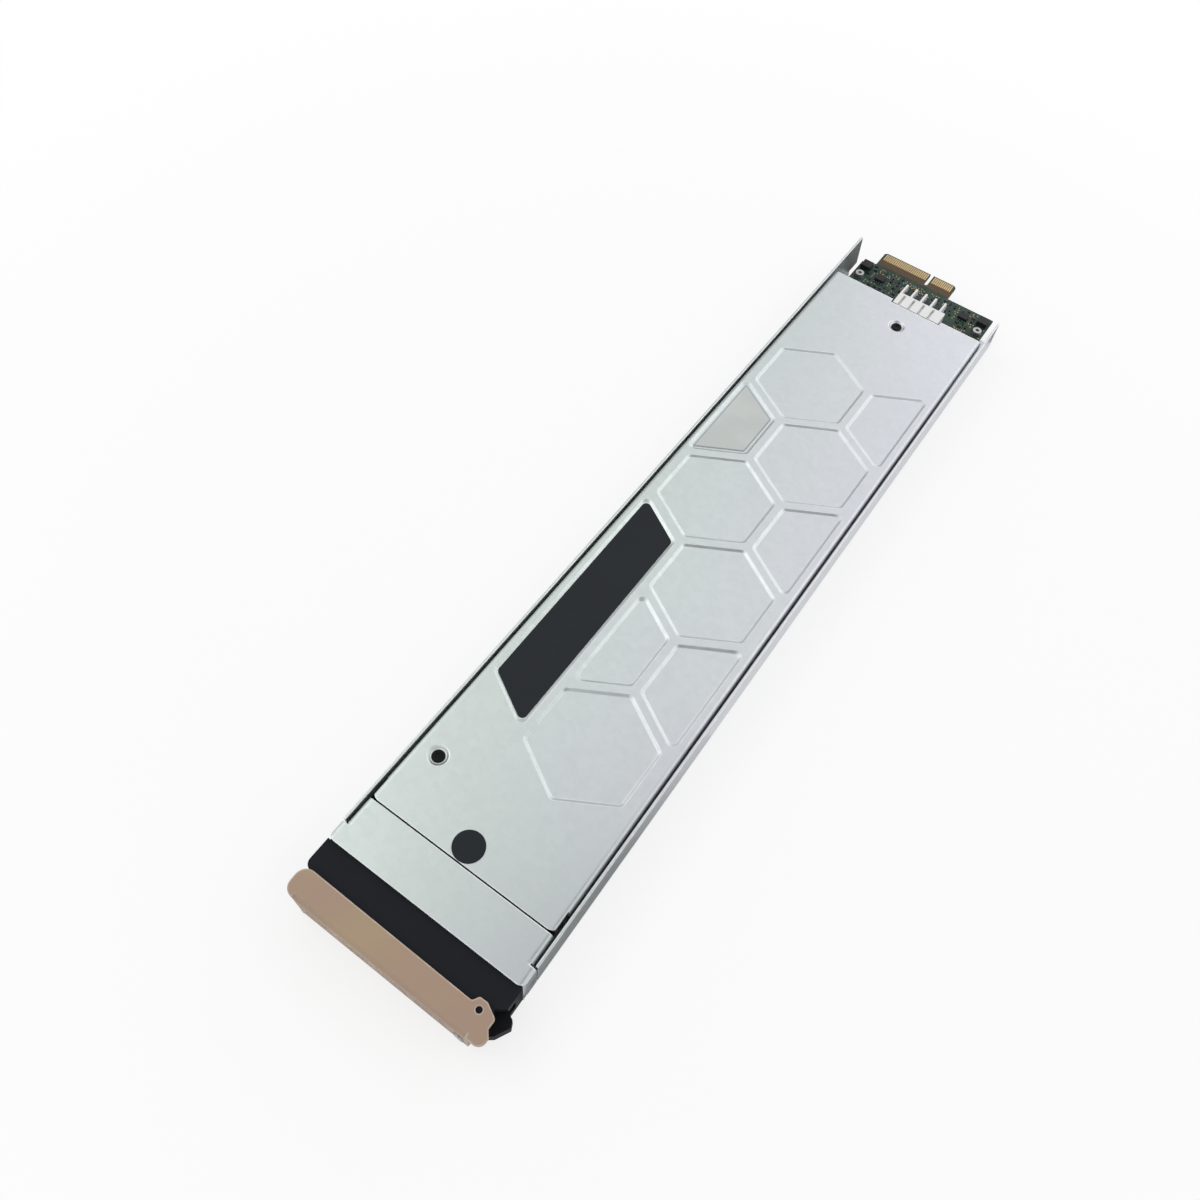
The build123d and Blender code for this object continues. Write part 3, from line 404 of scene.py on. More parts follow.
@dataclass(frozen=True)
class Moulding(Finish):
    """Moulded plastic: pebbled skin with slight flow marks and dust in its grain."""

    pebble: float = 0.35 * MM
    mottling: float = 0.25
    flow_size: float = 22.0 * MM

    def look(self, graph: Graph, place: Wire) -> Look:
        """Moulded skin. See Finish.look."""
        skin = graph.noise(place, self.pebble, 3.0)
        bumps = graph.cells(place, self.pebble * 1.6, "SMOOTH_F1")
        flow = graph.noise(place, self.flow_size, 2.0, Grain.ALONG.value)
        light = (skin * 0.6 + flow * 0.5 - 0.3).clamped()
        colour = graph.mix(light * self.mottling, shade(self.colour, 0.85), shade(self.colour, 1.9))
        roughness = self.roughness + (skin - 0.5) * 0.15 + (flow - 0.5) * 0.1
        return Look(colour, roughness, skin * 0.5 + bumps * 0.5)


@dataclass(frozen=True)
class Paint(Finish):
    """Sprayed paint on metal: orange-peel skin, a second tint in patches, small chips."""

    tint: Colour = (0.5, 0.5, 0.5)
    bare: Colour = (0.55, 0.53, 0.5)
    peel: float = 0.8 * MM
    patch_size: float = 38.0 * MM
    fleck_size: float = 0.25 * MM
    chip_size: float = 1.1 * MM

    def look(self, graph: Graph, place: Wire) -> Look:
        """Painted skin. See Finish.look."""
        patches = graph.noise(place, self.patch_size, 2.0).ramp(0.35, 0.65)
        peel = graph.noise(place, self.peel, 1.0)
        fleck = graph.noise(place, self.fleck_size, 2.0)
        colour = graph.mix(patches * 0.8, self.colour, self.tint)
        colour = graph.mix((fleck - 0.35) * 0.3, colour, shade(self.colour, 0.8))
        chip = graph.noise(place, self.chip_size, 4.0).ramp(0.735, 0.75)
        colour = graph.mix(chip * 0.6, colour, self.bare)
        roughness = self.roughness + (patches - 0.5) * 0.08 + (fleck - 0.5) * 0.1
        return Look(colour, roughness, peel + fleck * 0.2 - chip)


@dataclass(frozen=True)
class Metal(Finish):
    """Plain or plated metal with drawn grain, tarnish in patches and tiny pits."""

    tarnish: Colour = (0.4, 0.4, 0.4)
    patches: float = 0.4
    grain: Grain = Grain.ALONG
    grain_size: float = 0.2 * MM
    stain_size: float = 5.0 * MM
    pit_spacing: float = 1.3 * MM

    def look(self, graph: Graph, place: Wire) -> Look:
        """Drawn metal. See Finish.look."""
        drawn = graph.noise(place, self.grain_size, 2.0, self.grain.value)
        stain = graph.noise(place, self.stain_size, 4.0).ramp(0.4, 0.75)
        pit = 1.0 - graph.cells(place, self.pit_spacing).ramp(0.05, 0.12)
        colour = graph.mix(stain * self.patches, self.colour, self.tarnish)
        colour = graph.mix((drawn - 0.3) * 0.35, colour, shade(self.colour, 0.7))
        roughness = self.roughness + (drawn - 0.5) * 0.2 + stain * 0.1 + pit * 0.1
        return Look(colour, roughness, drawn - pit * 0.5)


@dataclass(frozen=True)
class SolderMask(Finish):
    """Circuit board: mask over copper runs, vias, bare laminate at the cut edges and before the contacts."""

    run: Colour = (0.022, 0.070, 0.042)
    laminate: Colour = (0.20, 0.18, 0.075)
    band: Colour = (0.075, 0.042, 0.014)
    band_start: float = 377.3 * MM
    band_end: float = 381.9 * MM
    band_blend: float = 0.2 * MM
    run_spacing: float = 3.0 * MM
    fine_spacing: float = 1.1 * MM
    fine_patch: float = 11.0 * MM
    pour_size: float = 26.0 * MM
    via_spacing: float = 1.9 * MM
    weave_size: float = 0.4 * MM
    ply: float = 0.045 * MM

    @staticmethod
    def tracks(graph: Graph, flat: Wire, spacing: float, metric: str, low: float, high: float) -> Wire:
        """Copper tracks, as the borders of cells.

        Args:
            graph: The material's nodes.
            flat: Coordinates in the board's plane.
            spacing: Size of a cell.
            metric: How distance is measured, which sets the tracks' directions.
            low: Where a track's edge starts, in cell sizes from the border.
            high: Where it ends.

        Returns:
            1 on a track, else 0.
        """
        near = graph.cells(flat, spacing, "F1", metric)
        far = graph.cells(flat, spacing, "F2", metric)
        return 1.0 - (far - near).ramp(low, high)

    def look(self, graph: Graph, place: Wire) -> Look:
        """Masked board. See Finish.look."""
        flat = graph.scaled(place, (1, 1, 0))
        runs = self.tracks(graph, flat, self.run_spacing, "MANHATTAN", 0.05, 0.11)
        fine = self.tracks(graph, flat, self.fine_spacing, "CHEBYCHEV", 0.06, 0.13)
        fine = fine * graph.noise(flat, self.fine_patch).ramp(0.5, 0.56)
        copper = graph.math("MAXIMUM", runs, fine)
        pour = graph.noise(flat, self.pour_size, 1.0).ramp(0.47, 0.53)
        via = 1.0 - graph.cells(flat, self.via_spacing).ramp(0.09, 0.13)
        colour = graph.mix(pour * 0.6, self.colour, shade(self.colour, 1.7))
        colour = graph.mix(copper * 0.75, colour, self.run)
        colour = graph.mix(via * 0.7, colour, shade(self.run, 2.2))
        along = graph.axis(place, "Y")
        started = along.ramp(self.band_start - self.band_blend, self.band_start)
        bare = started * (1.0 - along.ramp(self.band_end, self.band_end + self.band_blend))
        weave = graph.noise(place, self.weave_size, 2.0)
        colour = graph.mix(bare, colour, graph.mix(weave, shade(self.band, 0.6), shade(self.band, 1.5)))
        normal = graph.add("ShaderNodeNewGeometry", output="Normal")
        upright = graph.math("ABSOLUTE", graph.axis(normal, "Z"))
        cut = 1.0 - upright.ramp(0.4, 0.6)
        layer = graph.math("SINE", graph.axis(place, "Z") / self.ply)
        plies = graph.mix(layer * 0.4 + weave * 0.5, self.laminate, shade(self.laminate, 0.55))
        colour = graph.mix(cut, colour, plies)
        roughness = self.roughness + (weave - 0.5) * 0.12 + cut * 0.35 - copper * 0.04
        return Look(colour, roughness, copper * 0.8 + via * 0.5 + weave * 0.15)


@dataclass(frozen=True)
class Film(Finish):
    """Printed film: fine ink grain, slight silvering and finger marks."""

    ink_size: float = 0.18 * MM
    mark_size: float = 16.0 * MM
    speck_size: float = 0.6 * MM

    def look(self, graph: Graph, place: Wire) -> Look:
        """Printed film. See Finish.look."""
        ink = graph.noise(place, self.ink_size, 2.0)
        marks = graph.noise(place, self.mark_size, 3.0).ramp(0.4, 0.7)
        speck = graph.noise(place, self.speck_size, 1.0).ramp(0.74, 0.78)
        colour = graph.mix(ink * 0.35 + marks * 0.2, shade(self.colour, 0.88), shade(self.colour, 1.35))
        colour = graph.mix(speck * 0.15, colour, self.rim_wear_and_highlight_colour)
        roughness = self.roughness + (ink - 0.5) * 0.12 + (marks - 0.5) * 0.12
        return Look(colour, roughness, ink + marks * 0.3)


FINISHES: tuple[Finish, ...] = (
    # Painted highlight: the near-white edge colour with a high gain paints bright rims along the sheet's
    # edges and the seam.
    SheetSteel(
        "case_steel", (0.60, 0.63, 0.63), roughness=0.40, metallic=0.85, edge_radius=0.6 * MM,
        rim_wear_and_highlight_colour=(0.97, 0.99, 0.99), edge_wear_and_highlight=1.0, edge_gain=20.0, relief=0.006 * MM,
    ),
    Moulding(
        "bezel_black", (0.0150, 0.0168, 0.0210), roughness=0.6, specular=0.07, edge_radius=0.35 * MM,
        rim_wear_and_highlight_colour=(0.06, 0.065, 0.075), edge_wear_and_highlight=0.5, relief=0.03 * MM, pebble=0.45 * MM,
    ),
    # Painted highlight: the light edge colour with a high gain paints a lighter rim round the lever's top
    # plate and lobe.
    Paint(
        "lever_tan", (0.395, 0.293, 0.190), roughness=0.48, specular=0.3, edge_radius=0.8 * MM,
        rim_wear_and_highlight_colour=(0.66, 0.57, 0.50), edge_wear_and_highlight=1.0, edge_gain=30.0, relief=0.012 * MM,
        tint=(0.375, 0.258, 0.198),
    ),
    Paint(
        "hook_black", (0.009, 0.011, 0.011), roughness=0.6, specular=0.05, edge_radius=0.3 * MM,
        rim_wear_and_highlight_colour=(0.03, 0.03, 0.032), edge_wear_and_highlight=0.4, relief=0.012 * MM, tint=(0.010, 0.010, 0.012),
        bare=(0.03, 0.03, 0.032),
    ),
    Metal(
        "steel", (0.44, 0.44, 0.45), roughness=0.40, metallic=1.0, edge_radius=0.15 * MM,
        rim_wear_and_highlight_colour=(0.62, 0.62, 0.62), tarnish=(0.31, 0.30, 0.29), relief=0.008 * MM,
    ),
    Paint(
        "black_steel", (0.005, 0.006, 0.006), roughness=0.4, specular=0.10, edge_radius=0.12 * MM,
        rim_wear_and_highlight_colour=(0.05, 0.05, 0.05), relief=0.006 * MM, tint=(0.007, 0.008, 0.008),
        bare=(0.03, 0.03, 0.03), peel=0.3 * MM,
    ),
    Moulding(
        "clear_plastic", (0.80, 0.84, 0.85), roughness=0.12, transmission=0.85, rim_wear_and_highlight_colour=(0.9, 0.95, 0.95),
        relief=0.004 * MM, mottling=0.1,
    ),
    Moulding(
        "lamp_white", (0.72, 0.71, 0.66), roughness=0.4, rim_wear_and_highlight_colour=(0.9, 0.9, 0.86), relief=0.006 * MM,
        pebble=0.2 * MM, mottling=0.1, edge_radius=0.08 * MM,
    ),
    SolderMask(
        "board_green", (0.010, 0.026, 0.019), roughness=0.38, specular=0.22, edge_radius=0.08 * MM,
        rim_wear_and_highlight_colour=(0.18, 0.17, 0.08), edge_wear_and_highlight=0.4, relief=0.02 * MM,
    ),
    Metal(
        "gold", (0.52, 0.37, 0.18), roughness=0.34, metallic=1.0, edge_radius=0.02 * MM,
        rim_wear_and_highlight_colour=(0.7, 0.53, 0.29), tarnish=(0.42, 0.32, 0.23), patches=0.8, grain_size=0.12 * MM,
        relief=0.004 * MM,
    ),
    Moulding(
        "header_white", (0.89, 0.90, 0.89), roughness=0.45, edge_radius=0.25 * MM,
        rim_wear_and_highlight_colour=(0.95, 0.95, 0.95), edge_wear_and_highlight=0.4, relief=0.01 * MM, pebble=0.3 * MM, mottling=0.12,
    ),
    Metal(
        "contact_dark", (0.032, 0.039, 0.051), roughness=0.42, metallic=0.7, edge_radius=0.15 * MM,
        rim_wear_and_highlight_colour=(0.15, 0.17, 0.20), tarnish=(0.018, 0.022, 0.028), relief=0.01 * MM, grain=Grain.NONE,
    ),
    Moulding(
        "chip_black", (0.018, 0.018, 0.020), roughness=0.6, specular=0.3, edge_radius=0.1 * MM,
        rim_wear_and_highlight_colour=(0.09, 0.09, 0.095), relief=0.015 * MM, pebble=0.18 * MM, mottling=0.35,
    ),
    Moulding(
        "pad_grey", (0.35, 0.37, 0.40), roughness=0.8, specular=0.3, rim_wear_and_highlight_colour=(0.45, 0.47, 0.5),
        relief=0.03 * MM, pebble=0.5 * MM, mottling=0.3,
    ),
    Metal(
        "aluminium", (0.74, 0.75, 0.76), roughness=0.36, metallic=1.0, edge_radius=0.2 * MM,
        rim_wear_and_highlight_colour=(0.88, 0.89, 0.9), tarnish=(0.58, 0.59, 0.6), relief=0.01 * MM,
    ),
    Moulding(
        "choke_grey", (0.085, 0.083, 0.085), roughness=0.7, specular=0.3, rim_wear_and_highlight_colour=(0.2, 0.2, 0.2),
        relief=0.03 * MM, pebble=0.25 * MM, mottling=0.5, edge_radius=0.1 * MM,
    ),
    Film(
        "label_black", (0.0165, 0.0199, 0.0240), roughness=0.45, specular=0.14, edge_radius=0.06 * MM,
        rim_wear_and_highlight_colour=(0.15, 0.15, 0.16), edge_wear_and_highlight=0.4, relief=0.004 * MM,
    ),
    Film(
        "label_grey", (0.54, 0.57, 0.555), roughness=0.5, specular=0.3, edge_radius=0.06 * MM,
        rim_wear_and_highlight_colour=(0.66, 0.68, 0.68), edge_wear_and_highlight=0.4, relief=0.004 * MM,
    ),
)


class Workshop:
    def __init__(self, frame: dict[str, Any]) -> None:
        """Build every finish once."""
        self.frame = frame
        self.materials = {finish.slot: finish.material() for finish in FINISHES}

    def dress_nodes(self) -> None:
        """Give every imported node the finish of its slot."""
        for part in self.frame["record"]["subparts"]:
            node = self.frame["nodes"][part["node"]]
            if not node.material_slots:
                node.data.materials.append(None)
            for holder in node.material_slots:
                holder.material = self.materials[part["material_slot"]]
            LOG.info("dressed %s with %s", part["node"], part["material_slot"])

    def hand_over(self, piece: bpy.types.Object, slot: str, replaces: Iterable[str] = ()) -> None:
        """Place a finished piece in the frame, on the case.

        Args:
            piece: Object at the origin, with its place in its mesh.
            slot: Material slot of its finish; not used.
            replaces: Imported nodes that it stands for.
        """
        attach(piece, CASE)
        for node in replaces:
            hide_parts(node)
        LOG.info("added %s: %d faces", piece.name, len(piece.data.polygons))

    def repeat(
        self,
        pattern: Pattern,
        name: str,
        slot: str,
        points: Sequence[Place],
        values: dict[str, float],
        turns: Sequence[float] | None = None,
        facings: Sequence[Place] | None = None,
        replaces: Iterable[str] = (),
    ) -> None:
        """Make a piece of equal shapes and place it in the frame.

        Args:
            pattern: Shape that is repeated.
            name: The piece's name.
            slot: Material slot of its finish.
            points: Where the copies stand.
            values: Values of the pattern's named inputs.
            turns: Angle of each copy about its own axis; none where left out.
            facings: Which way each copy's top points; up where left out.
            replaces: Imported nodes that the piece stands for.
        """
        piece = pattern.make(name, points, values, self.materials[slot], turns, facings)
        self.hand_over(piece, slot, replaces)


class Pattern:
    """A Geometry Nodes tree that repeats a shape on the points of a mesh."""

    def __init__(self, name: str, sizes: Sequence[str], counts: Sequence[str] = ()) -> None:
        """Make the tree and its named inputs.

        Args:
            name: The tree's name.
            sizes: Names of its lengths.
            counts: Names of its whole numbers.
        """
        self.tree = bpy.data.node_groups.new(name, "GeometryNodeTree")
        self.graph = Graph(self.tree)
        face = self.tree.interface
        face.new_socket("Geometry", in_out="OUTPUT", socket_type="NodeSocketGeometry")
        kinds = {"Points": "Geometry"}
        kinds.update({label: "Float" for label in sizes})
        kinds.update({label: "Int" for label in counts})
        kinds["Finish"] = "Material"
        self.inputs = {
            label: face.new_socket(label, in_out="INPUT", socket_type="NodeSocket" + kind)
            for label, kind in kinds.items()
        }
        self.source = self.graph.add("NodeGroupInput")

    def input(self, name: str) -> Wire:
        """Wire of a named input."""
        return self.source.other(name)

    def vector(self, x: Value = 0.0, y: Value = 0.0, z: Value = 0.0) -> Wire:
        """Vector of three values."""
        return self.graph.add("ShaderNodeCombineXYZ", None, {"X": x, "Y": y, "Z": z})

    def moved(self, geometry: Wire, offset: Wire) -> Wire:
        """Geometry moved by a vector."""
        return self.graph.add("GeometryNodeTransform", None, {"Geometry": geometry, "Translation": offset})

    def close(self, shape: Wire) -> None:
        """Repeat a shape on the points, each turned to its facing, and end the tree.

        Args:
            shape: Mesh whose foot is at the origin and whose top is towards +Z.
        """
        graph = self.graph
        facing = graph.add(
            "GeometryNodeInputNamedAttribute", {"data_type": "FLOAT_VECTOR"}, {"Name": "facing"},
        )
        turn = graph.add("GeometryNodeInputNamedAttribute", {"data_type": "FLOAT"}, {"Name": "turn"})
        spin = graph.add("FunctionNodeEulerToRotation", None, {0: self.vector(z=turn)})
        lean = graph.add("FunctionNodeAlignRotationToVector", {"axis": "Z"}, {"Vector": facing})
        rotation = graph.add("FunctionNodeRotateRotation", {"rotation_space": "LOCAL"}, {0: lean, 1: spin})
        copies = graph.add(
            "GeometryNodeInstanceOnPoints", None,
            {"Points": self.input("Points"), "Instance": shape, "Rotation": rotation},
        )
        solid = graph.add("GeometryNodeRealizeInstances", None, {"Geometry": copies})
        done = graph.add(
            "GeometryNodeSetMaterial", None, {"Geometry": solid, "Material": self.input("Finish")},
        )
        graph.add("NodeGroupOutput", None, {0: done})

    def make(
        self,
        name: str,
        points: Sequence[Place],
        values: dict[str, float],
        finish: bpy.types.Material,
        turns: Sequence[float] | None = None,
        facings: Sequence[Place] | None = None,
    ) -> bpy.types.Object:
        """Run the tree and keep its result as a plain mesh.

        Args:
            name: The piece's name.
            points: Where the copies stand.
            values: Values of the named inputs.
            finish: Material of the copies.
            turns: Angle of each copy about its own axis; none where left out.
            facings: Which way each copy's top points; up where left out.

        Returns:
            The finished piece.
        """
        mesh = bpy.data.meshes.new(name + "_points")
        mesh.from_pydata(list(points), [], [])
        mesh.attributes.new("facing", "FLOAT_VECTOR", "POINT")
        mesh.attributes.new("turn", "FLOAT", "POINT")
        for i in range(len(points)):
            mesh.attributes["facing"].data[i].vector = facings[i] if facings else (0, 0, 1)
            mesh.attributes["turn"].data[i].value = turns[i] if turns else 0.0
        piece = linked(name, mesh)
        modifier = piece.modifiers.new("pattern", "NODES")
        modifier.node_group = self.tree
        for label, value in values.items():
            modifier[self.inputs[label].identifier] = value
        modifier[self.inputs["Finish"].identifier] = finish
        solid = bpy.data.meshes.new_from_object(
            piece.evaluated_get(bpy.context.evaluated_depsgraph_get()))
        piece.modifiers.remove(modifier)
        solid.name = name
        piece.data = solid
        bpy.data.meshes.remove(mesh)
        return piece


@dataclass
class Shapes:
    """The patterns that the sub-assemblies share, with the shares and steps of the screws' round forms."""

    head_sides: int = 48
    head_steps: int = 2
    shank_sides: int = 24
    lobes: int = 6
    lobe_root: float = 0.74
    lobe_round: float = 0.12
    lobe_steps: int = 3
    weld: float = 0.001 * MM

    def __post_init__(self) -> None:
        """Build the trees."""
        self.screw = self.screw_pattern()
        self.blocks = self.block_pattern()
        self.studs = self.stud_pattern()
        self.outlines = self.outline_pattern()

    def screw_pattern(self) -> Pattern:
        """Screw with a tapered head and a six-lobed recess.

        Returns:
            The pattern.
        """
        pattern = Pattern("screw", (
            "Base Radius", "Top Radius", "Head Height", "Shank Radius", "Shank Length",
            "Recess Radius", "Recess Depth",
        ))
        graph, get = pattern.graph, pattern.input
        head = graph.add("GeometryNodeMeshCone", None, {
            "Vertices": self.head_sides, "Side Segments": self.head_steps, "Radius Top": get("Top Radius"),
            "Radius Bottom": get("Base Radius"), "Depth": get("Head Height"),
        })
        star = graph.add("GeometryNodeCurveStar", None, {
            "Points": self.lobes, "Inner Radius": get("Recess Radius") * self.lobe_root,
            "Outer Radius": get("Recess Radius"),
        })
        soft = graph.add("GeometryNodeFilletCurve", {"mode": "POLY"}, {
            "Curve": star, "Count": self.lobe_steps, "Radius": get("Recess Radius") * self.lobe_round,
        })
        lid = graph.add("GeometryNodeFillCurve", {"mode": "NGONS"}, {"Curve": soft})
        grown = graph.add("GeometryNodeExtrudeMesh", {"mode": "FACES"}, {
            "Mesh": lid, "Offset Scale": get("Recess Depth") * 2.0,
        })
        floor = graph.add("GeometryNodeFlipFaces", None, {"Mesh": lid})
        tool = graph.add("GeometryNodeJoinGeometry", None, {"Geometry": [grown, floor]})
        tool = graph.add("GeometryNodeMergeByDistance", None, {"Geometry": tool, "Distance": self.weld})
        tool = pattern.moved(tool, pattern.vector(z=get("Head Height") - get("Recess Depth")))
        cut = graph.add("GeometryNodeMeshBoolean", {"operation": "DIFFERENCE", "solver": "EXACT"}, {
            "Mesh 1": head, "Mesh 2": tool,
        })
        shank = graph.add("GeometryNodeMeshCylinder", None, {
            "Vertices": self.shank_sides, "Radius": get("Shank Radius"), "Depth": get("Shank Length"),
        })
        shank = pattern.moved(shank, pattern.vector(z=get("Shank Length") * -0.5))
        pattern.close(graph.add("GeometryNodeJoinGeometry", None, {"Geometry": [cut, shank]}))
        return pattern

    @staticmethod
    def block_pattern() -> Pattern:
        """Row of equal blocks, such as a small part's body, its two end caps or a package's leads.

        Returns:
            The pattern.
        """
        pattern = Pattern("blocks", ("Length", "Width", "Height", "Pitch", "Offset"), ("Count",))
        graph, get = pattern.graph, pattern.input
        block = graph.add("GeometryNodeMeshCube", None, {
            "Size": pattern.vector(get("Length"), get("Width"), get("Height")),
        })
        block = pattern.moved(block, pattern.vector(z=get("Height") * 0.5))
        half = get("Pitch") * (get("Count") - 1.0) * -0.5
        line = graph.add("GeometryNodeMeshLine", {"mode": "OFFSET"}, {
            "Count": get("Count"), "Start Location": pattern.vector(half, get("Offset")),
            "Offset": pattern.vector(get("Pitch")),
        })
        row = graph.add("GeometryNodeInstanceOnPoints", None, {"Points": line, "Instance": block})
        pattern.close(row)
        return pattern

    @staticmethod
    def stud_pattern() -> Pattern:
        """Low round stud, such as a via's pad or a test point.

        Returns:
            The pattern.
        """
        pattern = Pattern("studs", ("Radius", "Height"), ("Sides",))
        graph, get = pattern.graph, pattern.input
        stud = graph.add("GeometryNodeMeshCylinder", None, {
            "Vertices": get("Sides"), "Radius": get("Radius"), "Depth": get("Height"),
        })
        pattern.close(pattern.moved(stud, pattern.vector(z=get("Height") * 0.5)))
        return pattern

    @staticmethod
    def outline_pattern() -> Pattern:
        """Printed rectangle round a part.

        Returns:
            The pattern.
        """
        pattern = Pattern("outlines", ("Length", "Width", "Line", "Thickness"))
        graph, get = pattern.graph, pattern.input
        path = graph.add("GeometryNodeCurvePrimitiveQuadrilateral", None, {
            "Width": get("Length"), "Height": get("Width"),
        })
        section = graph.add("GeometryNodeCurvePrimitiveQuadrilateral", None, {
            "Width": get("Line"), "Height": get("Thickness"),
        })
        pattern.close(graph.add("GeometryNodeCurveToMesh", None, {
            "Curve": path, "Profile Curve": section, "Fill Caps": True,
        }))
        return pattern


@dataclass(frozen=True)
class Screw:
    """One kind of screw: its piece's name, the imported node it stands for, its finish and its sizes."""

    name: str
    node: str
    slot: str
    foot_radius: float
    top_radius: float
    head_height: float
    recess_radius: float
    recess_depth: float
    shank_length: float
    shank_radius: float = 1.25 * MM

    def sizes(self) -> dict[str, float]:
        """The sizes under the screw pattern's input names."""
        return {
            "Base Radius": self.foot_radius, "Top Radius": self.top_radius, "Head Height": self.head_height,
            "Shank Radius": self.shank_radius, "Shank Length": self.shank_length,
            "Recess Radius": self.recess_radius, "Recess Depth": self.recess_depth,
        }


@dataclass
class Fasteners:
    """Screws of the cover, the board and the front frame's sides, each with a driver recess."""

    shop: Workshop
    shapes: Shapes
    upright: tuple[Screw, ...] = (
        Screw(
            "cover_screw_set", "cover_screws", "black_steel", foot_radius=2.6 * MM, top_radius=2.34 * MM,
            head_height=0.6 * MM, recess_radius=1.3 * MM, recess_depth=0.36 * MM, shank_length=7.0 * MM,
        ),
        Screw(
            "board_screw_set", "board_screws", "steel", foot_radius=2.6 * MM, top_radius=2.132 * MM,
            head_height=1.7 * MM, recess_radius=1.17 * MM, recess_depth=1.02 * MM, shank_length=5.0 * MM,
        ),
    )
    sideways: Screw = Screw(
        "frame_screw_set", "frame_screws", "steel", foot_radius=1.25 * MM, top_radius=2.0 * MM,
        head_height=0.75 * MM, recess_radius=1.0 * MM, recess_depth=0.525 * MM, shank_length=3.2 * MM,
    )
    side_turns: tuple[float, float] = (0.4, 0.9)
    apart: float = 6.0 * MM
    seed: int = 5

    def centres(self, node: str) -> list[Vector]:
        """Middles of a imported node's separate solids, as boxes' middles.

        Args:
            node: Node whose solids are well apart.

        Returns:
            One middle for each solid, with its top as z.
        """
        groups: list[list[Vector]] = []
        for vertex in self.shop.frame["nodes"][node].data.vertices:
            spot = vertex.co
            for group in groups:
                if (group[0].xy - spot.xy).length < self.apart:
                    group.append(spot)
                    break
            else:
                groups.append([spot])
        middles = []
        for group in groups:
            low = Vector(map(min, *group))
            high = Vector(map(max, *group))
            middles.append(Vector(((low.x + high.x) / 2, (low.y + high.y) / 2, high.z)))
        return middles

    def add(
        self,
        screw: Screw,
        points: Sequence[Place],
        turns: Sequence[float],
        facings: Sequence[Place] | None = None,
    ) -> None:
        """Make one set of screws.

        Args:
            screw: Kind of screw.
            points: Feet of the heads.
            turns: Angle of each screw about its axis.
            facings: Which way each head points; up where left out.
        """
        self.shop.repeat(
            self.shapes.screw, screw.name, screw.slot, points, screw.sizes(), turns, facings, [screw.node],
        )

    def build(self) -> None:
        """Make the upright sets and the two flush screws in the front frame's sides."""
        for screw in self.upright:
            head = Vector((0, 0, screw.head_height))
            points = [tuple(spot - head) for spot in self.centres(screw.node)]
            chance = random.Random(self.seed)
            self.add(screw, points, [chance.uniform(0, math.pi) for _ in points])
        low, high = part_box(self.sideways.node)
        y, z = (low.y + high.y) / 2, (low.z + high.z) / 2
        depth = self.sideways.head_height
        points = [(low.x + depth, y, z), (high.x - depth, y, z)]
        self.add(self.sideways, points, self.side_turns, [(-1, 0, 0), (1, 0, 0)])


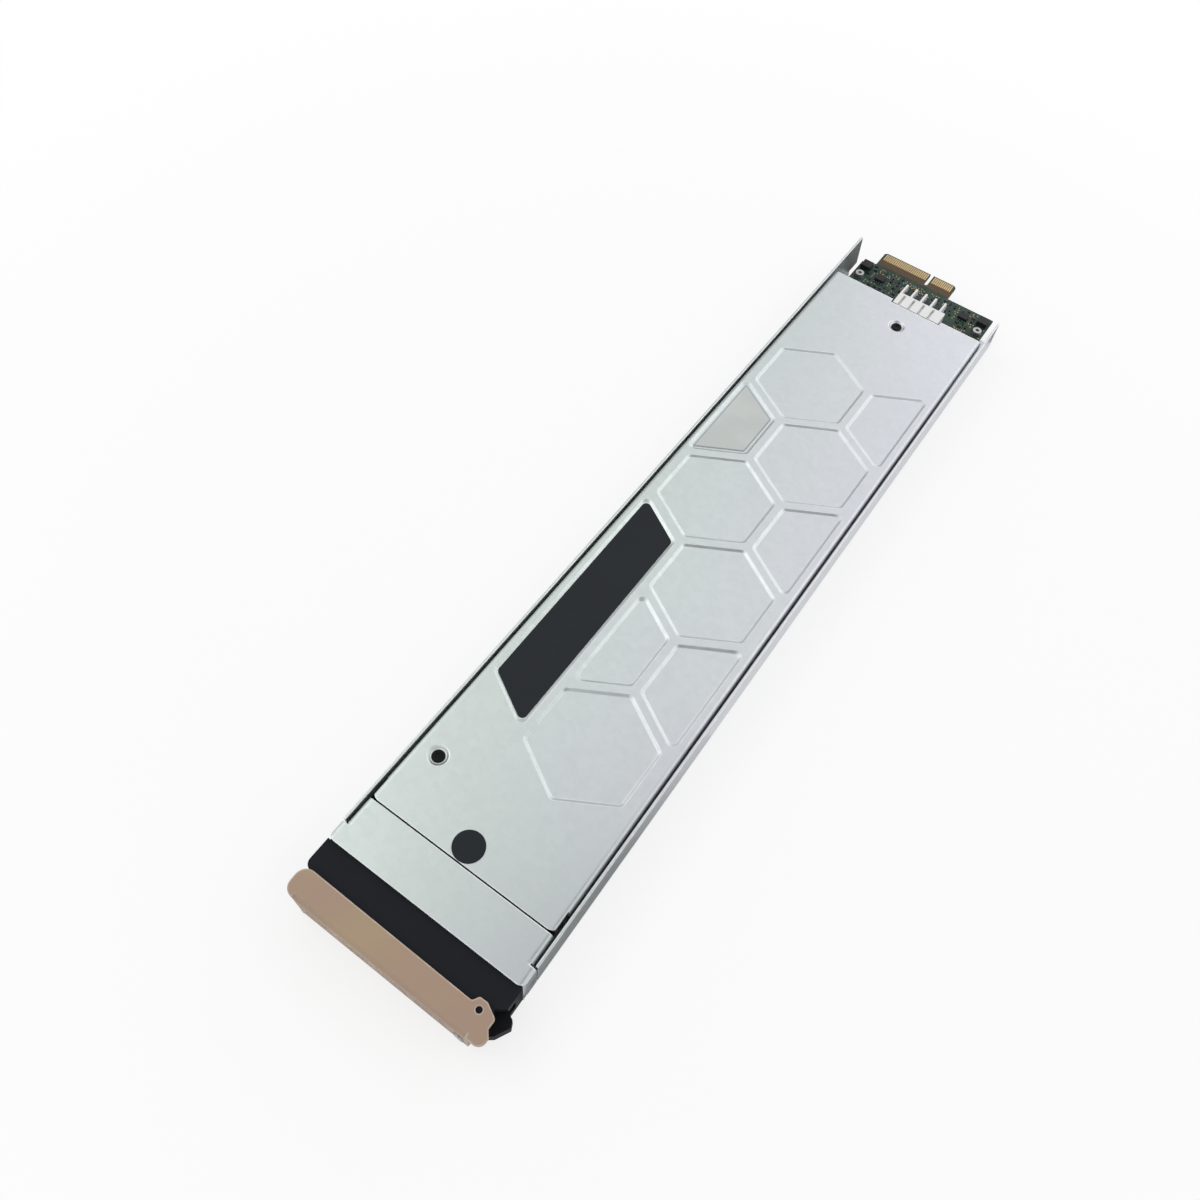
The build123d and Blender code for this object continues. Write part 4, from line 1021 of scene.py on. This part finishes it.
@dataclass
class BoardDetail:
    """Small parts, leads, vias and printed outlines on the board's open rear end.

    A package is given by its middle and its quarter turns, and a reach is the radius that is kept clear
    round a thing. A rise is a share of a small part's height. One in so many parts is outlined.
    """

    shop: Workshop
    shapes: Shapes
    top: float = 9.4 * MM
    front: float = 345.0 * MM
    rear: float = 374.6 * MM
    half_width: float = 36.0 * MM
    grid: float = 0.4 * MM
    seed: int = 11
    tries: int = 30
    part_count: int = 80
    part_size: Place = (1.6 * MM, 0.8 * MM, 0.7 * MM)
    part_spacing: float = 2.3 * MM
    body_share: float = 0.96
    resistor_rise: float = 0.705
    capacitor_rise: float = 0.94
    cap_rise: float = 0.8
    cap_length: float = 0.35 * MM
    one_outlined_in: int = 3
    outline_margin: float = 0.7 * MM
    outline_line: float = 0.14 * MM
    print_height: float = 0.03 * MM
    package_size: Place = (4.9 * MM, 3.9 * MM, 1.4 * MM)
    package_lift: float = 0.15 * MM
    packages: tuple[tuple[float, float, int], ...] = (
        (-26.5 * MM, 352.0 * MM, 0), (-14.5 * MM, 350.5 * MM, 1), (-23.0 * MM, 366.5 * MM, 0),
        (26.5 * MM, 351.5 * MM, 1), (23.5 * MM, 368.5 * MM, 0),
    )
    lead_size: Place = (0.42 * MM, 1.05 * MM, 0.25 * MM)
    lead_pitch: float = 1.27 * MM
    side_leads: int = 4
    via_count: int = 160
    via_spacing: float = 1.0 * MM
    via_radius: float = 0.3 * MM
    via_sides: int = 12
    package_reach: float = 4.3 * MM
    screw_reach: float = 4.2 * MM
    block_reach: float = 4.8 * MM
    corner_inset: float = 2.6 * MM
    header_reach: float = 2.4 * MM
    header_step: float = 3.0 * MM
    taken: list[tuple[float, float, float]] = field(default_factory=list)

    def keep_clear(self) -> None:
        """Note the circles that packages, screws, blocks and the header take up."""
        self.taken = [(x, y, self.package_reach) for x, y, _ in self.packages]
        inset, step = self.corner_inset, self.header_step
        for node, reach in (("board_screws", self.screw_reach), ("corner_blocks", self.block_reach)):
            low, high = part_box(node)
            self.taken += [(x, high.y - inset, reach) for x in (low.x + inset, high.x - inset)]
        low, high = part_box("power_header")
        for column in range(int((high.x - low.x) / step) + 2):
            for row in range(int((high.y - low.y) / step) + 2):
                self.taken.append((low.x + column * step, low.y + row * step, self.header_reach))

    def on_grid(self, value: float) -> float:
        """The nearest multiple of the board's grid."""
        return round(value / self.grid) * self.grid

    def scatter(self, count: int, spacing: float, chance: random.Random) -> list[Place]:
        """Random places on the open board, clear of what stands there.

        Args:
            count: Number of places wanted.
            spacing: Least distance between them.
            chance: Source of random numbers.

        Returns:
            The places found.
        """
        places: list[Place] = []
        for _ in range(count * self.tries):
            x = self.on_grid(chance.uniform(-self.half_width, self.half_width))
            y = self.on_grid(chance.uniform(self.front, self.rear))
            if all(math.hypot(x - a, y - b) > reach for a, b, reach in self.taken):
                self.taken.append((x, y, spacing))
                places.append((x, y, self.top))
            if len(places) == count:
                break
        return places

    def build(self) -> None:
        """Make every set of parts."""
        self.keep_clear()
        chance = random.Random(self.seed)
        self.small_parts(chance)
        self.leaded_packages()
        self.via_pads(chance)

    def small_parts(self, chance: random.Random) -> None:
        """Make the two-ended parts and the outlines printed round some of them.

        Args:
            chance: Source of random numbers.
        """
        places = self.scatter(self.part_count, self.part_spacing, chance)
        turns = [chance.choice((0.0, math.pi / 2)) for _ in places]
        length, width, height = self.part_size
        half = len(places) // 2
        for name, slot, rise, chosen in (
            ("small_resistors", "chip_black", self.resistor_rise, slice(None, half)),
            ("small_capacitors", "choke_grey", self.capacitor_rise, slice(half, None)),
        ):
            self.shop.repeat(self.shapes.blocks, name, slot, places[chosen], {
                "Length": length - 2 * self.cap_length, "Width": width * self.body_share,
                "Height": height * rise, "Count": 1,
            }, turns[chosen])
        self.shop.repeat(self.shapes.blocks, "part_end_caps", "contact_dark", places, {
            "Length": self.cap_length, "Width": width, "Height": height * self.cap_rise,
            "Pitch": length - self.cap_length, "Count": 2,
        }, turns)
        self.shop.repeat(self.shapes.outlines, "part_outlines", "pad_grey", places[::self.one_outlined_in], {
            "Length": length + self.outline_margin, "Width": width + self.outline_margin,
            "Line": self.outline_line, "Thickness": self.print_height,
        }, turns[::self.one_outlined_in])

    def leaded_packages(self) -> None:
        """Make the eight-lead packages and their leads."""
        length, width, height = self.package_size
        places = [(x, y, self.top) for x, y, _ in self.packages]
        raised = [(x, y, z + self.package_lift) for x, y, z in places]
        turns = [quarter * math.pi / 2 for _, _, quarter in self.packages]
        self.shop.repeat(self.shapes.blocks, "leaded_packages", "chip_black", raised, {
            "Length": length, "Width": width, "Height": height, "Count": 1,
        }, turns)
        lead_width, lead_length, lead_height = self.lead_size
        for side, name in ((-1, "package_leads_front"), (1, "package_leads_rear")):
            self.shop.repeat(self.shapes.blocks, name, "steel", places, {
                "Length": lead_width, "Width": lead_length, "Height": lead_height, "Pitch": self.lead_pitch,
                "Count": self.side_leads, "Offset": side * (width + lead_length) / 2,
            }, turns)

    def via_pads(self, chance: random.Random) -> None:
        """Make the gold pads of vias and test points.

        Args:
            chance: Source of random numbers.
        """
        places = self.scatter(self.via_count, self.via_spacing, chance)
        self.shop.repeat(self.shapes.studs, "via_pads", "gold", places, {
            "Radius": self.via_radius, "Height": self.print_height, "Sides": self.via_sides,
        })


@dataclass
class LabelBorder:
    """Thin raised border on the small grey label."""

    shop: Workshop
    node: str = "code_label"
    width: float = 0.35 * MM
    inset: float = 0.5 * MM
    rise: float = 0.02 * MM
    level: float = 0.01 * MM

    def outline(self) -> list[Vector]:
        """Corners of the label's top face, in order round it.

        Returns:
            The corners.
        """
        mesh = self.shop.frame["nodes"][self.node].data
        top = max(vertex.co.z for vertex in mesh.vertices)
        spots = {
            (round(v.co.x, 6), round(v.co.y, 6)) for v in mesh.vertices if abs(v.co.z - top) < self.level
        }
        middle = Vector((sum(x for x, _ in spots), sum(y for _, y in spots))) / len(spots)
        ordered = sorted(spots, key=lambda spot: math.atan2(spot[1] - middle.y, spot[0] - middle.x))
        return [Vector((x, y, top)) for x, y in ordered]

    def build(self) -> None:
        """Make the border."""
        mesh = bmesh.new()
        face = mesh.faces.new([mesh.verts.new(spot) for spot in self.outline()])
        how = {"faces": [face], "use_even_offset": True, "use_boundary": True}
        bmesh.ops.inset_region(mesh, thickness=self.inset, **how)
        ring = bmesh.ops.inset_region(mesh, thickness=self.width, **how)["faces"]
        bmesh.ops.delete(mesh, geom=[f for f in mesh.faces if f not in ring], context="FACES")
        grown = bmesh.ops.extrude_face_region(mesh, geom=list(mesh.faces))
        lifted = [item for item in grown["geom"] if isinstance(item, bmesh.types.BMVert)]
        bmesh.ops.translate(mesh, verts=lifted, vec=(0, 0, self.rise))
        bmesh.ops.recalc_face_normals(mesh, faces=list(mesh.faces))
        data = bpy.data.meshes.new("label_border")
        mesh.to_mesh(data)
        mesh.free()
        data.materials.append(self.shop.materials["pad_grey"])
        self.shop.hand_over(linked("label_border", data), "pad_grey")


@dataclass
class SeamShadeStrip:
    """Dark strip on the front frame's lip, in the seam before the cover: painted shade that darkens the seam.
    """

    shop: Workshop
    shapes: Shapes
    half_length: float = 36.0 * MM
    middle: float = -0.3 * MM
    lip_top: float = 21.0 * MM
    width: float = 0.5 * MM
    height: float = 0.7 * MM

    def build(self) -> None:
        """Make the strip."""
        # Painted shade: the black strip darkens the seam gap as its shade would.
        foot = (0.0, self.middle, self.lip_top)
        self.shop.repeat(self.shapes.blocks, "seam_shade_strip", "bezel_black", [foot], {
            "Length": 2 * self.half_length, "Width": self.width, "Height": self.height, "Count": 1,
        })


@dataclass(frozen=True)
class SoftBox:
    """A soft rectangular lamp that faces the module's middle, with its watts and its sides in metres."""

    name: str
    way: Place
    size: Span
    watts: float
    distance: float = 1.3


@dataclass(frozen=True)
class Card:
    """A card that faces the module's middle and is seen only in reflections; grey 1 is white."""

    name: str
    way: Place
    half: Span
    grey: float
    distance: float


@dataclass(frozen=True)
class FloorCard:
    """A card on the floor, seen only in reflections; fade is how far it turns white at its rear end."""

    name: str
    across: Span
    along: Span
    grey: float
    fade: float


@dataclass
class Studio:
    """Pale floor, white surroundings, soft boxes, cards for the reflections and the camera."""

    soft_boxes: tuple[SoftBox, ...] = (
        SoftBox("soft_box_rear", way=(0.13, 0.92, 0.36), size=(0.8, 0.40), watts=1.3),
        SoftBox("soft_box_left", way=(-0.58, -0.20, 0.79), size=(0.8, 0.6), watts=2.0),
        SoftBox("soft_box_top", way=(-0.20, 0.45, 0.87), size=(0.8, 0.7), watts=0.28),
        SoftBox("soft_box_right", way=(0.54, 0.50, 0.68), size=(0.6, 0.5), watts=1.1),
    )
    cards: tuple[Card, ...] = (
        Card("dark_card", way=(0.30, -0.20, 0.94), half=(0.26, 0.36), grey=0.03, distance=0.9),
        Card("grey_card", way=(-0.66, 0.70, 0.30), half=(0.50, 0.22), grey=0.30, distance=1.2),
    )
    floor_cards: tuple[FloorCard, ...] = (
        FloorCard("side_card", across=(0.0422, 0.07), along=(-0.02, 0.10), grey=0.30, fade=1.0),
        FloorCard("rear_card", across=(-0.06, 0.06), along=(0.372, 0.52), grey=0.10, fade=0.0),
    )
    fade_start: float = 0.4
    card_level: float = 0.2 * MM
    floor_level: float = -0.1 * MM
    floor_size: float = 8.0
    floor_colour: Colour = (0.92, 0.92, 0.92)
    floor_glow: float = 0.74
    clear_floor: Span = (0.20, 0.55)
    world_light: float = 0.79
    middle: Place = (0.0, 0.17, 0.02)
    camera_place: Place = (0.07966, -0.06439, 0.35795)
    camera_turn: Place = (31.1854, -3.3542, 35.4009)
    focal_pixels: float = 999.0
    image_pixels: float = 1200.0
    sensor: float = 36.0
    clip_start: float = 0.01

    def build(self) -> None:
        """Set up the whole studio."""
        scene = bpy.context.scene
        scene.view_settings.view_transform = "Standard"
        self.world(scene)
        self.floor()
        for box in self.soft_boxes:
            self.soft_box(box)
        for card in self.cards:
            self.card(card)
        for card in self.floor_cards:
            self.floor_card(card)
        self.camera(scene)

    @staticmethod
    def seen(graph: Graph) -> Wire:
        """1 for rays from the camera, reflections and clear parts, else 0."""
        path = graph.add("ShaderNodeLightPath", output="Is Camera Ray")
        return (path + path.other("Is Glossy Ray") + path.other("Is Transmission Ray")).clamped()

    def world(self, scene: bpy.types.Scene) -> None:
        """Set up even white surroundings.

        Args:
            scene: The scene.
        """
        scene.world = bpy.data.worlds.new("white_room")
        scene.world.use_nodes = True
        graph = Graph(scene.world.node_tree)
        strength = self.world_light + self.seen(graph) * (1.0 - self.world_light)
        light = graph.add("ShaderNodeBackground", None, {"Color": (1, 1, 1), "Strength": strength})
        graph.add("ShaderNodeOutputWorld", None, {"Surface": light})

    @staticmethod
    def sheet(
        name: str, across: Span, along: Span, level: float, material: bpy.types.Material,
    ) -> bpy.types.Object:
        """Make a level rectangle.

        Args:
            name: The sheet's name.
            across: Where it starts and ends along X.
            along: Where it starts and ends along Y.
            level: Its height.
            material: Its material.

        Returns:
            The sheet, in the scene.
        """
        (left, right), (front, rear) = across, along
        spots = [(left, front, level), (right, front, level), (right, rear, level), (left, rear, level)]
        mesh = bpy.data.meshes.new(name)
        mesh.from_pydata(spots, [], [(0, 1, 2, 3)])
        mesh.materials.append(material)
        return linked(name, mesh)

    def floor(self) -> None:
        """Lay the pale floor, which keeps the shadow near the module and is white further off."""
        material, graph = node_material("pale_floor")
        matte = graph.add("ShaderNodeBsdfDiffuse", None, {"Color": self.floor_colour})
        glow = graph.add("ShaderNodeEmission", None, {"Color": (1, 1, 1), "Strength": 1.0})
        place = graph.add("ShaderNodeTexCoord", output="Object")
        reach = {"operation": "DISTANCE"}
        away = graph.add("ShaderNodeVectorMath", reach, {0: place, 1: self.middle}, output="Value")
        level = self.floor_glow + away.ramp(*self.clear_floor) * (1.0 - self.floor_glow)
        mixed = graph.add("ShaderNodeMixShader", None, {0: self.seen(graph) * level, 1: matte, 2: glow})
        graph.add("ShaderNodeOutputMaterial", None, {"Surface": mixed})
        span = (-self.floor_size / 2, self.floor_size / 2)
        floor = self.sheet("floor", span, span, self.floor_level, material)

    def aim(self, thing: bpy.types.Object, way: Place, distance: float) -> None:
        """Put a thing in a direction from the module's middle, facing it.

        Args:
            thing: Lamp or card.
            way: Direction.
            distance: Distance.
        """
        direction = Vector(way).normalized()
        thing.location = Vector(self.middle) + direction * distance
        thing.rotation_euler = direction.to_track_quat("Z", "Y").to_euler()

    def soft_box(self, box: SoftBox) -> None:
        """Add a lamp.

        Args:
            box: The lamp's place, size and power.
        """
        data = bpy.data.lights.new(box.name, "AREA")
        data.shape = "RECTANGLE"
        data.size, data.size_y = box.size
        data.energy = box.watts
        self.aim(linked(box.name, data), box.way, box.distance)

    def card(self, card: Card) -> None:
        """Add a card that stands free.

        Args:
            card: The card's place, size and colour.
        """
        x, y = card.half
        sheet = self.mirrored(card.name, (-x, x), (-y, y), 0.0, card.grey)
        self.aim(sheet, card.way, card.distance)

    def floor_card(self, card: FloorCard) -> None:
        """Add a card that lies on the floor.

        Args:
            card: The card's place, size and colour.
        """
        sheet = self.mirrored(card.name, card.across, card.along, self.card_level, card.grey, card.fade)

    def mirrored(
        self, name: str, across: Span, along: Span, level: float, grey: float, fade: float = 0.0,
    ) -> bpy.types.Object:
        """Make a sheet that only reflections show.

        Args:
            name: The sheet's name.
            across: Where it starts and ends along X.
            along: Where it starts and ends along Y.
            level: Its height.
            grey: How light it is in front.
            fade: How far it turns white at its rear end.

        Returns:
            The sheet, in the scene.
        """
        material, graph = node_material(name)
        front, rear = along
        way = graph.axis(graph.add("ShaderNodeTexCoord", output="Object"), "Y")
        pale = way.ramp(front + (rear - front) * self.fade_start, rear)
        shine = graph.mix(pale * fade, (grey, grey, grey), (1, 1, 1))
        matte = graph.add("ShaderNodeBsdfDiffuse", None, {"Color": shine})
        graph.add("ShaderNodeOutputMaterial", None, {"Surface": matte})
        sheet = self.sheet(name, across, along, level, material)
        sheet.visible_camera = sheet.visible_diffuse = False
        sheet.visible_shadow = sheet.visible_transmission = False
        return sheet

    def camera(self, scene: bpy.types.Scene) -> None:
        """Put the camera at the photo's place.

        Args:
            scene: The scene.
        """
        data = bpy.data.cameras.new("camera")
        data.sensor_fit = "HORIZONTAL"
        data.sensor_width = self.sensor
        data.lens = self.focal_pixels / self.image_pixels * self.sensor
        data.clip_start = self.clip_start
        camera = linked("camera", data)
        camera.location = self.camera_place
        camera.rotation_euler = [math.radians(angle) for angle in self.camera_turn]
        scene.camera = camera


def main() -> None:
    """Build the module's looks and the studio round it."""
    logging.basicConfig(level=logging.INFO, format="%(name)s: %(message)s")
    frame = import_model()
    shop = Workshop(frame)
    shop.dress_nodes()
    shapes = Shapes()
    Fasteners(shop, shapes).build()
    BoardDetail(shop, shapes).build()
    LabelBorder(shop).build()
    SeamShadeStrip(shop, shapes).build()
    Studio().build()


if __name__ == "__main__":
    main()
